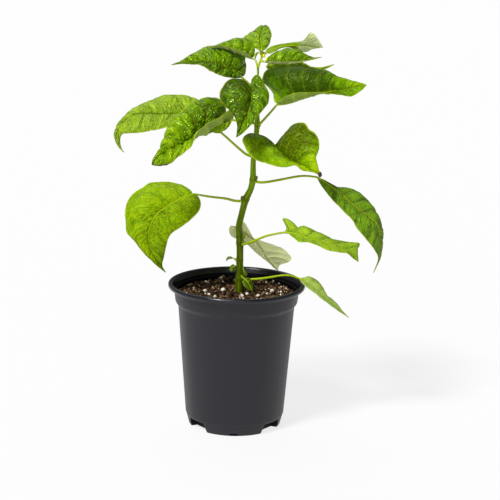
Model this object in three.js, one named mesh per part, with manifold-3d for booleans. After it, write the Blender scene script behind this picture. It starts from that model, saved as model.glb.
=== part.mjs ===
// A potted chilli pepper plant. Sizes are in millimetres, with +Z up.
// The origin is the centre of the pot's base, on the surface it stands on. The front faces -Y.
import * as THREE from 'three';
import Module from 'manifold-3d';

const wasm = await Module();
wasm.setup();
const { Manifold } = wasm;
const DEG = Math.PI / 180;

// ---------- Driving sizes ----------
const GAP = 0.3; // clearance between touching pieces

const POT_SIDES = 40;
const POT_FLOOR_R = 33; // flat floor disc that the pot stands on
const POT_FLOOR_TOP = 1.4;
const POT_RING_TOP = 10.6; // raised ring floor round the disc
const POT_OUTER = [
  [POT_FLOOR_R, 0], [POT_FLOOR_R + 0.8, 9.2], [39.0, 9.2], [39.3, 0.5], [39.8, 0], [40.6, 0.3],
  [42.6, 9.8], [43.5, 10.6], [51.0, 108.3], [53.6, 111.8], [54.6, 121.0], [55.2, 123.4],
  [56.2, 124.5], [57.2, 123.7], [58.9, 123.7], [59.9, 124.9], [59.9, 126.4], [58.8, 127.6],
  [57.2, 127.6], [56.0, 126.7],
];
const POT_INNER = [
  [54.4, 123.0], [53.5, 120.9], [52.4, 120.2], [52.2, 112.2], [49.8, 108.6], [42.4, 11.6],
  [41.6, POT_RING_TOP], [POT_FLOOR_R - 0.4, POT_RING_TOP], [POT_FLOOR_R - 1.4, POT_FLOOR_TOP],
];
const NOTCH_ANGLES = [52, 128, 232, 308]; // drain notches, degrees from the front
const NOTCH_FOOT_HALF = 19; // half angle at the foot, degrees
const NOTCH_TOP_HALF = 10; // half angle at the top, degrees
const NOTCH_TOP = 8.8;
const DRAIN_ANGLES = [40, 64, 116, 140, 220, 244, 296, 320];
const DRAIN_R = 36.6;
const DRAIN_SIZE = [3.2, 6.4, 4]; // radial, along the ring, and depth of the cut
const SLOT_SIZE = [7, 6, 1.5]; // small slot in the middle of the front and back skirts

const SOIL_TOP = 117.0;
const SOIL_EDGE_R = 51.7;
const SOIL_RINGS = [5.5, 10, 15, 20, 25, 30, 35, 40, 44.5, 48.6];
const SOIL_SIDES = 40;
const SOIL_BUMP = 1.1;
const GRAIN_HEIGHT = 1.5;
const GRAIN_REACH = 3.2;
const GRAINS = [
  [-28, 29], [-15, 43], [-28, 5], [-12, 6], [-18, -15], [-24, -9], [-3, 38], [9, -8], [19, -11],
  [31, 6], [22, 36], [33, 40], [39, 20], [39, 3], [25, 12], [-38, 14], [-33, -24], [8, -36],
  [-6, -41], [27, -32], [-20, 22], [12, 24], [43, -12], [-44, -4], [5, 46], [-8, -24],
];

// The stem's centreline with its radius: [x, y, z, radius].
const STEM = [
  [2, 5, 94, 2.0], [2, 5, 108, 2.8], [2.1, 5, 117, 3.5], [2.2, 5, 123, 3.7], [2.3, 5, 130, 3.6],
  [2.4, 5, 136, 3.3], [2.4, 5, 145, 3.05], [2.3, 5, 156, 2.95], [2.1, 5, 162, 3.3],
  [1.7, 5, 168, 3.0], [1.1, 4.5, 177, 2.8], [3.1, 4, 187, 2.75], [4.7, 3.6, 194, 2.8],
  [6.4, 3, 201, 3.2], [8.6, 2.6, 206, 2.7], [10.7, 2.2, 211, 2.5], [12.3, 2, 219, 2.85],
  [12.4, 1.5, 227, 2.4], [12.5, 1.2, 235, 2.25], [13.4, 0.6, 244, 2.25], [14.1, 0.2, 253, 2.3],
  [14.8, 0, 262, 2.25], [15.1, 0, 268, 2.4], [15, 0, 275, 1.9], [15, 0, 284, 1.7],
  [15, 0, 293, 1.7], [15, 0, 301, 1.25], [15, 0, 309, 0.9], [14.8, 0, 316, 0.95],
];
const STEM_SIDES = 8;
const STEM_ROWS = 38;
const STEM_RIDGE = 0.06; // every other edge stands out by this share of the radius
const FORK_BRANCHES = [
  [[14.8, 0, 314.5, 0.9], [14.0, 0.6, 318.5, 0.85], [12.8, 2.2, 321.6, 0.75]],
  [[14.8, 0, 314.5, 0.9], [16.0, 0.6, 319.5, 0.9], [17.4, 1.2, 323, 0.95], [18, 1.8, 325.6, 0.8]],
];
// Buds and the growing tip: [x, y, z, radius across, radius along z].
const BUDS = [
  [15.0, 0.6, 220.4, 1.5, 1.9], [3.6, 1.2, 202.6, 1.5, 1.8], [4.8, 3.6, 168.6, 1.3, 1.7],
  [4.9, 3.2, 163.2, 1.4, 1.6], [-0.1, 4.2, 146.5, 1.5, 2.4], [17.2, -0.7, 266.8, 1.2, 1.6],
  [5.0, 2.4, 131.0, 1.6, 1.7], [12.4, -0.6, 240.0, 1.2, 1.5], [-1.2, 5.4, 128, 1.3, 1.8],
  [19.2, 0.4, 327.2, 1.2, 2.4], [17.0, 0.4, 327.6, 1.2, 2.6], [18.4, 2.2, 327, 1.1, 2.2],
];
const SOIL_HOLE_EXTRA = 0.5; // the hole in the soil is wider than the stem by this much all round

// Leaves. The stalk and the rib run through the listed points. "left" and "right" are the points
// that each edge of the blade runs through from the stalk round to the tip, and "camber" is how far
// each half swells between rib and edge, as a share of its width. "face" is where the upper face looks.
const BLADE_T = 0.7;
const ROWS = 10;
const COLS = 4; // cells from the rib to an edge
const NARROW_COLS = 3; // the same for blades narrower than NARROW_HALF
const NARROW_HALF = 16;
const ROW_GROWTH = 1.35; // rows lie closer together near the stalk
const STALK_SIDES = 5;
const SMALL_STALK_SIDES = 4;
const RIB_SHARE = 0.45; // share of the blade that the thick underside rib runs along
const FIRST_SHARE = 0.012; // the first and last row lie at these shares of the rib
const LAST_SHARE = 0.997;
const UP_SHARE = 0.5; // how far a half swells along the rib's own upward direction
const SIMPLIFY = 0.02; // slivers smaller than this are merged after the cuts
const EDGE_HALF = 0.35; // half-width left at the very tip and base
const LEAVES = {
  leaf_lower_left: {
    stalk: [[6.2, 3, 199.5], [-3, 2, 200], [-11, 1, 202], [-24, 0, 203.5], [-38, -2, 206]],
    rib: [[-38, -2, 206], [-43, -4, 205], [-50, -7, 202.5], [-56.5, -10, 199], [-63.5, -13, 195],
          [-69.5, -16, 190.5], [-73, -18, 185], [-75.5, -19, 178], [-76, -19, 169.5],
          [-74, -18, 159.5], [-68.5, -15, 148], [-61.5, -12, 138]],
    face: [-0.25, -0.75, 0.6],
    left: [[-34.5, -4, 204.5], [-32, -9, 199.5], [-34, -14, 193], [-41, -18, 186.5],
           [-49, -21, 180.5], [-57, -23, 175], [-60.5, -22, 166], [-63, -18, 154.5],
           [-64.5, -15, 145.5]],
    right: [[-43.5, 4, 209.5], [-50.5, 8, 212], [-59.5, 10, 213.5], [-70, 10, 213],
            [-77, 8, 212.5], [-82.5, 4, 209.5], [-89, 0, 206], [-94, -4, 200.5], [-96.5, -8, 194],
            [-96, -12, 186], [-95, -15, 175], [-88.5, -17, 168], [-81, -19, 158.5],
            [-71.5, -17, 148]],
    camber: { left: [-0.05, 0.12, 0.12, 0.05], right: [0.05, 0.14, 0.14, 0.05] },
  },
  leaf_lower_right: {
    stalk: [[2.4, 5, 130], [8, 3, 129.8], [14, 1.8, 130.2], [25, 0, 132], [39, -2, 135],
            [47, -3, 135.3], [54.5, -3, 133]],
    rib: [[54.5, -3, 133], [59.5, -4, 130.5], [65.5, -5, 126], [73, -6, 120.5], [80, -6, 114.5],
          [87, -5, 108.5], [93.5, -4, 103.5], [99, -3, 98.5]],
    face: [0.2, -0.1, 1],
    left: [[58, 0, 133], [62.5, 3, 133.5], [66.5, 4, 132], [71.5, 4, 129], [75.5, 3, 123],
           [78.5, 0, 117.5], [83, 0, 115], [88, -1, 110.5], [92.5, -2, 104.5]],
    right: [[57, -8, 130], [62, -11, 126.5], [69, -13, 122], [77, -13, 115.5], [85, -10, 109],
            [91.5, -7, 104]],
    camber: { left: [0.1, 0.15, 0.1], right: [0.1, 0.1, 0.1] },
  },
  leaf_pale_back: {
    stalk: [[2.3, 5, 159], [2.8, 9, 161.5], [2.4, 11.5, 164], [0, 13.5, 171.5]],
    rib: [[0, 13.5, 171.5], [6.5, 16, 169], [11.5, 19, 164.5], [17, 22.5, 159], [22.5, 27, 151],
          [27, 31.5, 142], [36.5, 38, 130]],
    face: [0.1, 0.8, 0.5],
    left: [[-5, 13.5, 175.5], [-7.5, 14, 172], [-5.5, 14.5, 166], [1, 16, 162.5],
           [8.5, 19, 157.5], [18, 25, 147.5], [27.5, 32, 138.5], [33.5, 36.5, 132]],
    right: [[1.5, 15, 177], [5, 17, 178], [9.5, 19, 171], [14, 22, 162.5], [21.5, 27, 159],
            [30.5, 32, 155], [38.5, 37, 151], [44, 39, 146.5], [48, 40, 141], [45.5, 40, 137],
            [40, 39, 135.5], [37, 38.5, 133]],
    camber: { left: [0.05, -0.06, 0.05], right: [0.08, -0.06, 0.06] },
  },
  leaf_curled_right: {
    stalk: [[2.2, 5, 160.5], [6, 1.5, 161.8], [13, -2, 165], [24, -7, 171], [34, -11, 174.5],
            [40, -15, 176.5]],
    rib: [[40, -15, 176.5], [46, -17.5, 177], [53.5, -20, 176], [62, -22, 173.5],
          [72.5, -24, 171], [82.5, -25, 168.5], [92.5, -24, 164], [99.5, -23, 159],
          [104.5, -22, 153.5]],
    face: [0, 0, 1],
    left: [[42.5, -13, 180], [40.5, -11, 183.5], [38.5, -10, 187.5], [42.5, -9, 187],
           [46.5, -11, 184], [50.5, -13, 180.5], [56, -13, 182], [63, -12, 179], [72.5, -12, 175],
           [82.5, -14, 170.5], [92.5, -14, 169], [100.5, -15, 168.5], [105, -16, 168],
           [103.5, -18, 164], [103.5, -20, 159.5]],
    right: [[43.5, -19, 176.5], [48, -23, 173.5], [52.5, -27, 171], [60, -30, 171.5],
            [69, -31, 169], [76.5, -31, 165.5], [86, -30, 163.5], [94, -28, 162],
            [99.5, -25, 157]],
    camber: { left: [0.1, 0.1, 0.12, 0.1], right: [-0.1, -0.12, 0.1, 0.05] },
  },
  leaf_drooping_right: {
    stalk: [[12.3, 2, 218], [17, 1, 217], [23, 0, 217.2], [35, -3, 220], [50, -7, 224],
            [59, -9, 225], [67, -11, 224.5]],
    rib: [[67, -11, 224.5], [75, -13, 220], [81.5, -15, 215.5], [88.5, -17, 210.5],
          [95.5, -19, 204.5], [101.5, -21, 200], [107, -22.5, 196], [113, -24, 192.5],
          [118.5, -25, 187], [121, -25, 177], [122, -23.5, 166.5], [122, -20.5, 156],
          [118, -17, 142.5]],
    face: [0.5, -0.5, 0.7],
    left: [[72.5, -11, 222.5], [78.5, -10.5, 219], [83.5, -9.5, 216], [88, -8, 215],
           [93, -7, 215], [99.5, -7, 213.5], [106, -8, 209.5], [113, -10, 203], [118, -12, 195.5],
           [121, -14, 187], [123, -15, 177], [123.5, -17, 166], [123, -18.5, 157]],
    right: [[70.5, -14, 218.5], [75.5, -18, 212.5], [82.5, -23, 205], [89.5, -27, 199],
            [96, -30, 193], [103, -32, 183], [110, -31, 175], [116.5, -28, 166.5],
            [121, -22, 157]],
    camber: { left: [0.05, 0.15, 0.2, 0.1], right: [0.1, 0.15, 0.15, 0.05] },
  },
  leaf_right_heart: {
    stalk: [[14, 0.2, 252], [17, -6, 252], [21, -13, 251], [29.5, -22, 250.5]],
    rib: [[29.5, -22, 250.5], [34.5, -29, 248.5], [39, -36, 246], [43.5, -43, 243.5],
          [50.5, -50, 242], [57.5, -55, 239.5], [67.5, -58, 235.5]],
    face: [-0.2, -0.5, 0.8],
    left: [[31, -20, 253.5], [35.5, -18, 259], [40.5, -18, 265], [45, -20, 270.5],
           [50.5, -23, 273], [55.5, -28, 272.5], [58.5, -33, 268.5], [63, -38, 266.5],
           [66, -43, 262], [66.5, -49, 255.5], [64, -53, 249], [65.5, -56.5, 242.5]],
    right: [[26.5, -20, 251.5], [22.5, -17, 253.5], [17.5, -15, 259.5], [11.5, -14, 262],
            [6, -15, 260.5], [3, -18, 256.5], [5.5, -22, 251.5], [9, -27, 246], [15.5, -33, 242],
            [26.5, -42, 240], [38, -50, 239.5], [47, -54.5, 242], [52.5, -57, 239],
            [61, -58.5, 237.5]],
    camber: { left: [0.12, 0.16, 0.16, 0.1], right: [0.08, 0.16, 0.16, 0.1] },
  },
  leaf_left_front: {
    stalk: [[12.9, 1, 239], [7, -4, 241.5], [1, -10, 247], [-11, -19, 259], [-21, -27, 269]],
    rib: [[-21, -27, 269], [-27.5, -30, 268.5], [-34, -34, 264.5], [-39, -38, 259.5],
          [-44, -41, 256], [-51.5, -44, 253.5], [-59.5, -46, 250], [-66.5, -47, 245.5],
          [-72, -47.5, 239]],
    face: [-0.3, -0.8, 0.6],
    left: [[-12.5, -29, 273], [-5.5, -31, 277.5], [-7.5, -31, 283.5], [-12.5, -34, 280.5],
           [-19.5, -38, 277], [-26, -43, 274], [-31.5, -47, 270], [-35.5, -51, 263.5],
           [-39, -54, 255.5], [-44.5, -56, 250.5], [-50, -56, 247], [-53.5, -55, 243.5],
           [-59.5, -52, 240], [-66.5, -49.5, 239]],
    right: [[-15, -23, 274.5], [-11.5, -19, 280], [-14, -16, 287], [-19.5, -14, 291],
            [-27.5, -15, 291], [-36.5, -19, 288], [-45.5, -24, 282], [-54.5, -29, 274.5],
            [-59, -34, 267], [-61.5, -39, 258], [-64.5, -43, 250.5], [-69.5, -46, 245.5]],
    camber: { left: [-0.3, -0.35, -0.1, 0.1, 0.1], right: [0.1, 0.16, 0.16, 0.1] },
  },
  leaf_left_back: {
    stalk: [[15, 0, 268], [7, 2, 268.6], [-2, 5, 269.4], [-14, 8, 271.3], [-31.5, 10, 278.5]],
    rib: [[-31.5, 10, 278.5], [-43, 11, 275], [-53, 11, 273], [-67, 9, 272.5], [-79.5, 6, 273],
          [-88.5, 3.5, 273], [-96.5, 1, 269], [-102.5, -1, 262.5], [-104.5, -3, 255],
          [-102.5, -4.5, 247.5], [-98.5, -5.5, 241.5]],
    face: [-0.1, -0.4, 0.9],
    left: [[-32.5, 5, 274], [-39, -1, 270], [-49, -5, 266.5], [-60, -7, 265], [-71.5, -9, 262.5],
           [-82.5, -10, 260], [-93, -9, 259], [-99, -7, 258], [-101.5, -5.5, 253.5],
           [-101, -5, 247]],
    right: [[-31.5, 15, 282.5], [-37, 19, 285], [-45.5, 23, 287], [-55.5, 25, 287.5],
            [-68, 25, 286.5], [-78, 22, 282.5], [-87, 17, 278.5], [-96, 10, 272.5],
            [-103, 4, 266], [-107, 0, 257.5], [-106, -2.5, 252.5], [-103, -4.5, 246.5]],
    camber: { left: [0.1, 0.15, 0.1, 0.1], right: [0.1, 0.15, 0.15, 0.1] },
  },
  leaf_centre_front: {
    stalk: [[15, 0, 292], [14, -5, 295.5], [12.6, -10, 297.8], [10, -17, 298.5]],
    rib: [[10, -17, 298.5], [9.5, -26, 293.5], [9, -36, 288], [7, -44, 282.5], [3, -49.5, 275],
          [-2, -52, 264]],
    face: [-0.1, -0.8, 0.5],
    left: [[11, -14, 303], [12, -12, 309.5], [15.5, -14, 311], [19.5, -18, 305], [23.5, -24, 298],
           [23.5, -33, 291], [19.5, -41, 286], [14.5, -48, 280.5], [8.5, -53, 273.5],
           [3, -54, 268]],
    right: [[7, -13, 301], [3, -11, 305], [-2.5, -11, 307], [-9.5, -14, 306], [-15, -19, 300],
            [-16.5, -25, 294.5], [-13.5, -33, 289], [-7.5, -41, 284.5], [-2, -47, 279],
            [-1, -51, 272]],
    camber: { left: [0.05, 0.14, 0.14, 0.1], right: [0.1, 0.2, 0.2, 0.1] },
  },
  leaf_upper_left: {
    stalk: [[15, 0, 291], [12.5, -0.5, 296], [9, -1, 300.6], [1, -3, 308]],
    rib: [[1, -3, 308], [-3, -5, 311.5], [-9, -7, 315], [-15.5, -9, 318.5], [-23, -10.5, 320],
          [-31.5, -11, 320.5], [-40.5, -10.5, 320], [-49, -9, 319.5], [-58.5, -8, 318]],
    face: [0, -0.5, 0.85],
    left: [[-2, -8, 307.5], [-8.5, -13, 308], [-17, -17, 311], [-25.5, -19, 314.5],
           [-32, -18, 318.5], [-40.5, -14, 319], [-50, -10, 319]],
    right: [[3, 0, 308.5], [4, 6, 313], [4, 11, 320], [2, 14.5, 326], [-5, 16, 330],
            [-16, 15, 332], [-27, 10, 332], [-33.5, 4.5, 329.5], [-40.5, -1, 326], [-47, -5, 322],
            [-52.5, -8, 319.5]],
    camber: { left: [0.1, 0.12, 0.1], right: [0.05, 0.07, 0.07, 0.05] },
  },
  leaf_top_left: {
    stalk: [[12.9, 2, 321.4], [12, 2.4, 322.6], [10, 3, 323]],
    rib: [[10, 3, 323], [6, 3, 324.5], [0, 3, 327], [-7.5, 3, 330], [-15, 3, 332],
          [-22, 2.5, 332.5], [-26.5, 2, 332.5]],
    face: [0, -0.3, 1],
    left: [[8.5, -1, 325.5], [4.5, -4, 328.5], [-2.5, -5, 331], [-10, -4.5, 333], [-17, -2, 334],
           [-22.5, 0, 333.5]],
    right: [[11.5, 5.5, 326.5], [11, 9, 332], [7.5, 12, 336.5], [2, 14, 339], [-4, 14.5, 339],
            [-10, 13, 336.5], [-15.5, 9.5, 334.5], [-21, 5.5, 333]],
    camber: { left: [-0.25, -0.2, 0], right: [0.12, 0.2, 0.1] },
  },
  leaf_top: {
    stalk: [[17.4, 1.8, 325.4], [17.2, 3.4, 327.6], [18, 6, 329.5]],
    rib: [[18, 6, 329.5], [17, 13, 333.5], [16.5, 22, 338.5], [17.5, 33, 343], [19, 44, 347.5]],
    face: [0, -0.9, 0.4],
    left: [[14.5, 8.5, 330], [9.5, 13, 332.5], [4, 18, 335.5], [2, 23, 337.5], [5.5, 29, 339.5],
           [9.5, 35, 342], [14, 40.5, 345.5], [16.5, 43.5, 347]],
    right: [[20.5, 9, 330], [23.5, 14, 333.5], [25, 21, 337.5], [25.5, 29, 342], [23.5, 37, 346],
            [21.5, 42, 347.5]],
    camber: { left: [0.1, 0.15, 0.1], right: [0.1, 0.12, 0.1] },
  },
  leaf_top_right_folded: {
    stalk: [[18, 1.6, 324.2], [19, 2.2, 325], [21.5, 3.5, 328.5]],
    rib: [[21.5, 3.5, 328.5], [26.5, 6, 331], [33.5, 9, 333], [41, 11, 334], [48, 12, 334.5],
          [54.5, 12, 334.5], [61.5, 11, 333.5], [70, 9, 333]],
    face: [0, 0, 1],
    left: [[22, 7, 330.5], [27.5, 10.5, 333.5], [36.5, 13, 335], [46, 13.5, 336.5],
           [52, 12, 337.5], [55, 9, 340], [58, 5, 345.5], [61.5, 4, 345], [65.5, 6, 340],
           [68, 8, 336]],
    right: [[24, 1.5, 327.5], [29, 3, 329.5], [35, 8, 332], [42, 12, 332], [47, 15, 329.5],
            [52.5, 16.5, 328], [57, 16.5, 328.5], [61.5, 14, 331]],
    camber: { left: [0, 0.05, 0.1], right: [0, 0.05, 0.1] },
  },
  leaf_top_right_middle: {
    stalk: [[16.2, 0.7, 320.4], [18, 0.4, 321.1], [20.5, -1, 321]],
    rib: [[20.5, -1, 321], [27.5, -3, 320.5], [36, -4, 320.5], [44.5, -4, 321], [53, -3, 322.5],
          [60.5, -1, 324], [68.5, 1, 326]],
    face: [0, 0, 1],
    left: [[22.5, 2, 323.5], [26, 4.5, 326], [31, 7, 329], [37, 8.5, 331], [43, 8, 331.5],
           [48, 7, 330.5], [53.5, 5.5, 327.5], [58.5, 4, 325], [63, 2, 324.5]],
    right: [[23, -5, 322], [30, -9, 322.5], [37.5, -10.5, 322], [45, -9.5, 322.5],
            [52.5, -7, 323], [60.5, -3.5, 324]],
    camber: { left: [0.1, 0.2, 0.1], right: [-0.2, -0.2, 0] },
  },
  leaf_top_right_lower: {
    stalk: [[15, 0, 300.5], [17.5, 2.6, 303], [20, 6, 305], [21.5, 8.5, 308.5], [23.5, 10, 313]],
    rib: [[23.5, 10, 313], [30.5, 12, 315], [40.5, 13, 315.5], [51, 13, 315], [60.5, 12, 314],
          [68, 10.5, 314.5], [74, 9, 316], [79.5, 7.5, 319.5]],
    face: [0, 0, 1],
    left: [[22, 13, 315.5], [25, 17, 317.5], [33, 21, 318.5], [42.5, 22, 319.5], [50, 20, 319.5],
           [55, 17, 317.5], [60, 14, 315.5], [67, 12, 315.5], [73.5, 9.5, 317]],
    right: [[26, 7, 312.5], [33.5, 4, 312.5], [44, 3, 313], [53, 4, 313], [62, 6, 313],
            [68.5, 8, 313.5], [75, 8, 316]],
    camber: { left: [0.1, 0.15, 0.1], right: [0.05, 0.1, 0.1] },
  },
  leaf_right_big: {
    stalk: [[15, 0, 265.5], [18.5, -3, 269.5], [22, -7, 274], [27, -14, 281], [31.5, -20, 287.5]],
    rib: [[31.5, -20, 287.5], [37, -24, 289], [43.5, -27.5, 291], [50.5, -30, 294],
          [57.5, -32, 296.5], [66, -33, 299.5], [75.5, -33, 301], [85.5, -32, 302.5],
          [95.5, -31, 304.5], [105.5, -30, 307]],
    face: [0, -0.35, 0.95],
    left: [[29, -18, 290], [28, -14, 295.5], [25, -10, 299.5], [19.5, -6, 304.5], [19, -4.5, 308],
           [22, -4, 314], [31, -5, 317], [40, -8, 318], [50, -12, 318.5], [60, -16, 318],
           [71, -20, 317], [81.5, -24, 312.5], [91.5, -27, 310], [100.5, -29, 308]],
    right: [[33.5, -26, 291.5], [37, -32, 296], [42.5, -37, 298.5], [50, -40, 300.5],
            [58, -41, 301], [66.5, -41.5, 301.5], [74.5, -42, 300.5], [83, -42, 299.5],
            [91, -40, 298], [97, -37, 300], [101.5, -34, 303]],
    camber: { left: [0.1, 0.2, 0.2, 0.1], right: [-0.15, -0.3, -0.2, 0.05, 0.1] },
  },
};
const SMALL_LEAVES = {
  foot_leaf_front: {
    stalk: [[2.4, 5, 133], [4.2, 1.5, 133], [6.5, -1, 131]],
    rib: [[6.5, -1, 131], [9, -2.5, 129], [11.5, -4, 125.5], [13.5, -5.5, 121.5]],
    face: [-0.4, -0.7, 0.6],
    left: [[10, 0.5, 132], [12.5, -0.5, 129.5], [14, -2.5, 126], [14, -4.5, 123.5]],
    right: [[5, -3, 130], [6, -5, 127.5], [8.5, -6.5, 124.5], [11, -6.5, 122.5]],
    camber: { left: [0.15], right: [0.15] },
  },
  foot_leaf_right: {
    stalk: [[2.4, 5, 141.5], [4.6, 3.6, 141], [6, 3, 137.5]],
    rib: [[6, 3, 137], [7.5, 2.5, 135], [8, 2, 132.5]],
    face: [0.2, -0.5, 1],
    left: [[7.5, 4.5, 137], [9, 4, 135], [9, 3, 133.5]],
    right: [[5.5, 1.5, 136], [6, 1, 134.5], [7, 1, 133]],
    camber: { left: [0.15], right: [0.15] },
  },
  sprout_upper: {
    stalk: [[-1, 3.8, 146.5], [-2.4, 3.3, 148], [-4.2, 2.8, 149]],
    rib: [[-4.2, 2.8, 149], [-6.4, 2.6, 149.6], [-8.4, 2.2, 148.4], [-9.2, 1.8, 146]],
    face: [-0.5, -0.2, 0.8],
    left: [[-5, 0.8, 148.4], [-7, 0.2, 148.6], [-8.6, 0.6, 147.2]],
    right: [[-5.2, 4.8, 149.4], [-7.6, 4.6, 149.4], [-9.4, 3.6, 147.6]],
    camber: { left: [0.15], right: [0.15] },
  },
  sprout_lower: {
    stalk: [[2.3, 5, 143], [-0.8, 3.4, 142], [-1.8, 2.6, 141.8]],
    rib: [[-1.8, 2.6, 141.8], [-3.4, 1.4, 141.2], [-5, 0.2, 140.2], [-6.4, -0.8, 138.6]],
    face: [-0.3, -0.6, 0.7],
    left: [[-1.2, 1, 139.8], [-2.8, -0.8, 138.6], [-5, -1.6, 138]],
    right: [[-2.8, 4, 142.8], [-5, 2.8, 142.2], [-6.4, 1, 140.6]],
    camber: { left: [0.15], right: [0.15] },
  },
};
const SMALL_ROWS = 5;
const SMALL_COLS = 2;
const STALK_R = [1.15, 0.85]; // stalk radius at the stem and at the blade
const RIB_END_R = 0.4;
const SMALL_STALK_R = [0.8, 0.6];
const TOP_STALK_R = [0.7, 0.6];
const TOP_LEAVES = ['leaf_top_left', 'leaf_top', 'leaf_top_right_folded', 'leaf_top_right_middle'];

const COLOURS = {
  pot: 0x33363b,
  soil: 0x3c2a1d,
  stem: 0x5d7a1f,
  leaf: 0x4f8a18,
  leafYellow: 0x86ac22,
  leafPale: 0x9bb36a,
};

// ---------- Small vector tools ----------
const add = (a, b, k = 1) => [a[0] + b[0] * k, a[1] + b[1] * k, a[2] + b[2] * k];
const dot = (a, b) => a[0] * b[0] + a[1] * b[1] + a[2] * b[2];
const cross = (a, b) => [
  a[1] * b[2] - a[2] * b[1],
  a[2] * b[0] - a[0] * b[2],
  a[0] * b[1] - a[1] * b[0],
];
const unit = (a) => {
  const n = Math.hypot(...a) || 1;
  return [a[0] / n, a[1] / n, a[2] / n];
};
const lerp = (a, b, t) => a + (b - a) * t;

// Value at share s of a list of evenly spaced values.
function station(list, s) {
  if (list.length === 1) {
    return list[0];
  }
  const x = Math.min(Math.max(s, 0), 1) * (list.length - 1);
  const i = Math.min(Math.floor(x), list.length - 2);
  return lerp(list[i], list[i + 1], x - i);
}

// ---------- Curves ----------
// A smooth curve through the points, with its length and a frame carried along it.
function makeCurve(points, face = [0, 0, 1], count = 200) {
  const curve = new THREE.CatmullRomCurve3(
    points.map((p) => new THREE.Vector3(p[0], p[1], p[2])), false, 'catmullrom', 0.5);
  const raw = [];
  for (let i = 0; i <= 400; i += 1) {
    raw.push(curve.getPoint(i / 400).toArray());
  }
  const dist = [0];
  for (let i = 1; i < raw.length; i += 1) {
    dist.push(dist[i - 1] + Math.hypot(...add(raw[i], raw[i - 1], -1)));
  }
  const length = dist[dist.length - 1];
  const at = [];
  let k = 0;
  for (let i = 0; i <= count; i += 1) {
    const d = (length * i) / count;
    while (k < dist.length - 2 && dist[k + 1] < d) {
      k += 1;
    }
    const f = (d - dist[k]) / (dist[k + 1] - dist[k]);
    at.push(add(raw[k], add(raw[k + 1], raw[k], -1), f));
  }
  const tangent = at.map((p, i) => unit(
    add(at[Math.min(i + 1, count)], at[Math.max(i - 1, 0)], -1)));
  let side = unit(cross(tangent[0], face));
  const sides = tangent.map((t) => {
    side = unit(add(side, t, -dot(side, t)));
    return side;
  });
  const pick = (list, s) => {
    const x = Math.min(Math.max(s, 0), 1) * count;
    const i = Math.min(Math.floor(x), count - 1);
    return add(list[i], add(list[i + 1], list[i], -1), x - i);
  };
  return {
    length,
    point: (s) => pick(at, s),
    tangent: (s) => unit(pick(tangent, s)),
    side: (s) => unit(pick(sides, s)),
  };
}

// ---------- Solids ----------
function solid(vertices, triangles) {
  return new Manifold(new wasm.Mesh({
    numProp: 3,
    vertProperties: new Float32Array(vertices.flat()),
    triVerts: new Uint32Array(triangles.flat()),
  }));
}

// A closed tube along rings of points. All rings have the same count.
function tubeFromRings(rings) {
  const n = rings[0].length;
  const vertices = rings.flat();
  const mean = (ring) => ring.reduce((sum, p) => add(sum, p, 1 / n), [0, 0, 0]);
  const first = vertices.push(mean(rings[0])) - 1;
  const last = vertices.push(mean(rings[rings.length - 1])) - 1;
  const triangles = [];
  for (let i = 0; i < rings.length - 1; i += 1) {
    for (let j = 0; j < n; j += 1) {
      const a = i * n + j;
      const b = i * n + ((j + 1) % n);
      triangles.push([a, b, b + n], [a, b + n, a + n]);
    }
  }
  const top = (rings.length - 1) * n;
  for (let j = 0; j < n; j += 1) {
    const k = (j + 1) % n;
    triangles.push([first, k, j], [last, top + j, top + k]);
  }
  return solid(vertices, triangles);
}

// A tube through [x, y, z] points. radius(s) gives its size and ridge(j) scales each edge.
function tube(points, radius, sides, rows, ridge = () => 1) {
  const curve = makeCurve(points, Math.abs(points[1][2] - points[0][2]) > 2 ? [0, 1, 0] : [0, 0, 1]);
  const rings = [];
  for (let i = 0; i <= rows; i += 1) {
    const s = i / rows;
    const side = curve.side(s);
    const up = cross(side, curve.tangent(s));
    const ring = [];
    for (let j = 0; j < sides; j += 1) {
      const angle = (-2 * Math.PI * j) / sides;
      const r = radius(s) * ridge(j);
      ring.push(add(add(curve.point(s), side, r * Math.cos(angle)), up, r * Math.sin(angle)));
    }
    rings.push(ring);
  }
  return tubeFromRings(rings);
}

// A solid of revolution from a closed profile of [radius, z], either ending on the axis or not.
function turned(profile, sides) {
  const geometry = new THREE.LatheGeometry(
    profile.map(([r, z]) => new THREE.Vector2(r, z)), sides);
  const n = profile.length;
  const position = geometry.attributes.position;
  const vertices = [];
  const index = [];
  for (let i = 0; i < sides; i += 1) {
    for (let j = 0; j < n; j += 1) {
      const onAxis = profile[j][0] === 0;
      const closing = j === n - 1 && profile[j][0] === profile[0][0] && profile[j][1] === profile[0][1];
      if (closing) {
        index.push(index[i * n]);
      } else if (onAxis && i > 0) {
        index.push(index[j]);
      } else {
        const k = i * n + j;
        vertices.push([position.getX(k), -position.getZ(k), position.getY(k)]);
        index.push(vertices.length - 1);
      }
    }
  }
  const triangles = [];
  for (let i = 0; i < sides; i += 1) {
    for (let j = 0; j < n - 1; j += 1) {
      const next = ((i + 1) % sides) * n;
      const [a, b, c, d] = [index[i * n + j], index[i * n + j + 1], index[next + j + 1], index[next + j]];
      for (const t of [[a, b, c], [a, c, d]]) {
        if (new Set(t).size === 3) {
          triangles.push(t);
        }
      }
    }
  }
  return outward(vertices, triangles);
}

// The solid with its faces turned outward.
function outward(vertices, triangles) {
  let volume = 0;
  for (const [a, b, c] of triangles) {
    volume += dot(vertices[a], cross(vertices[b], vertices[c]));
  }
  return solid(vertices, volume > 0 ? triangles : triangles.map(([a, b, c]) => [a, c, b]));
}

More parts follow.
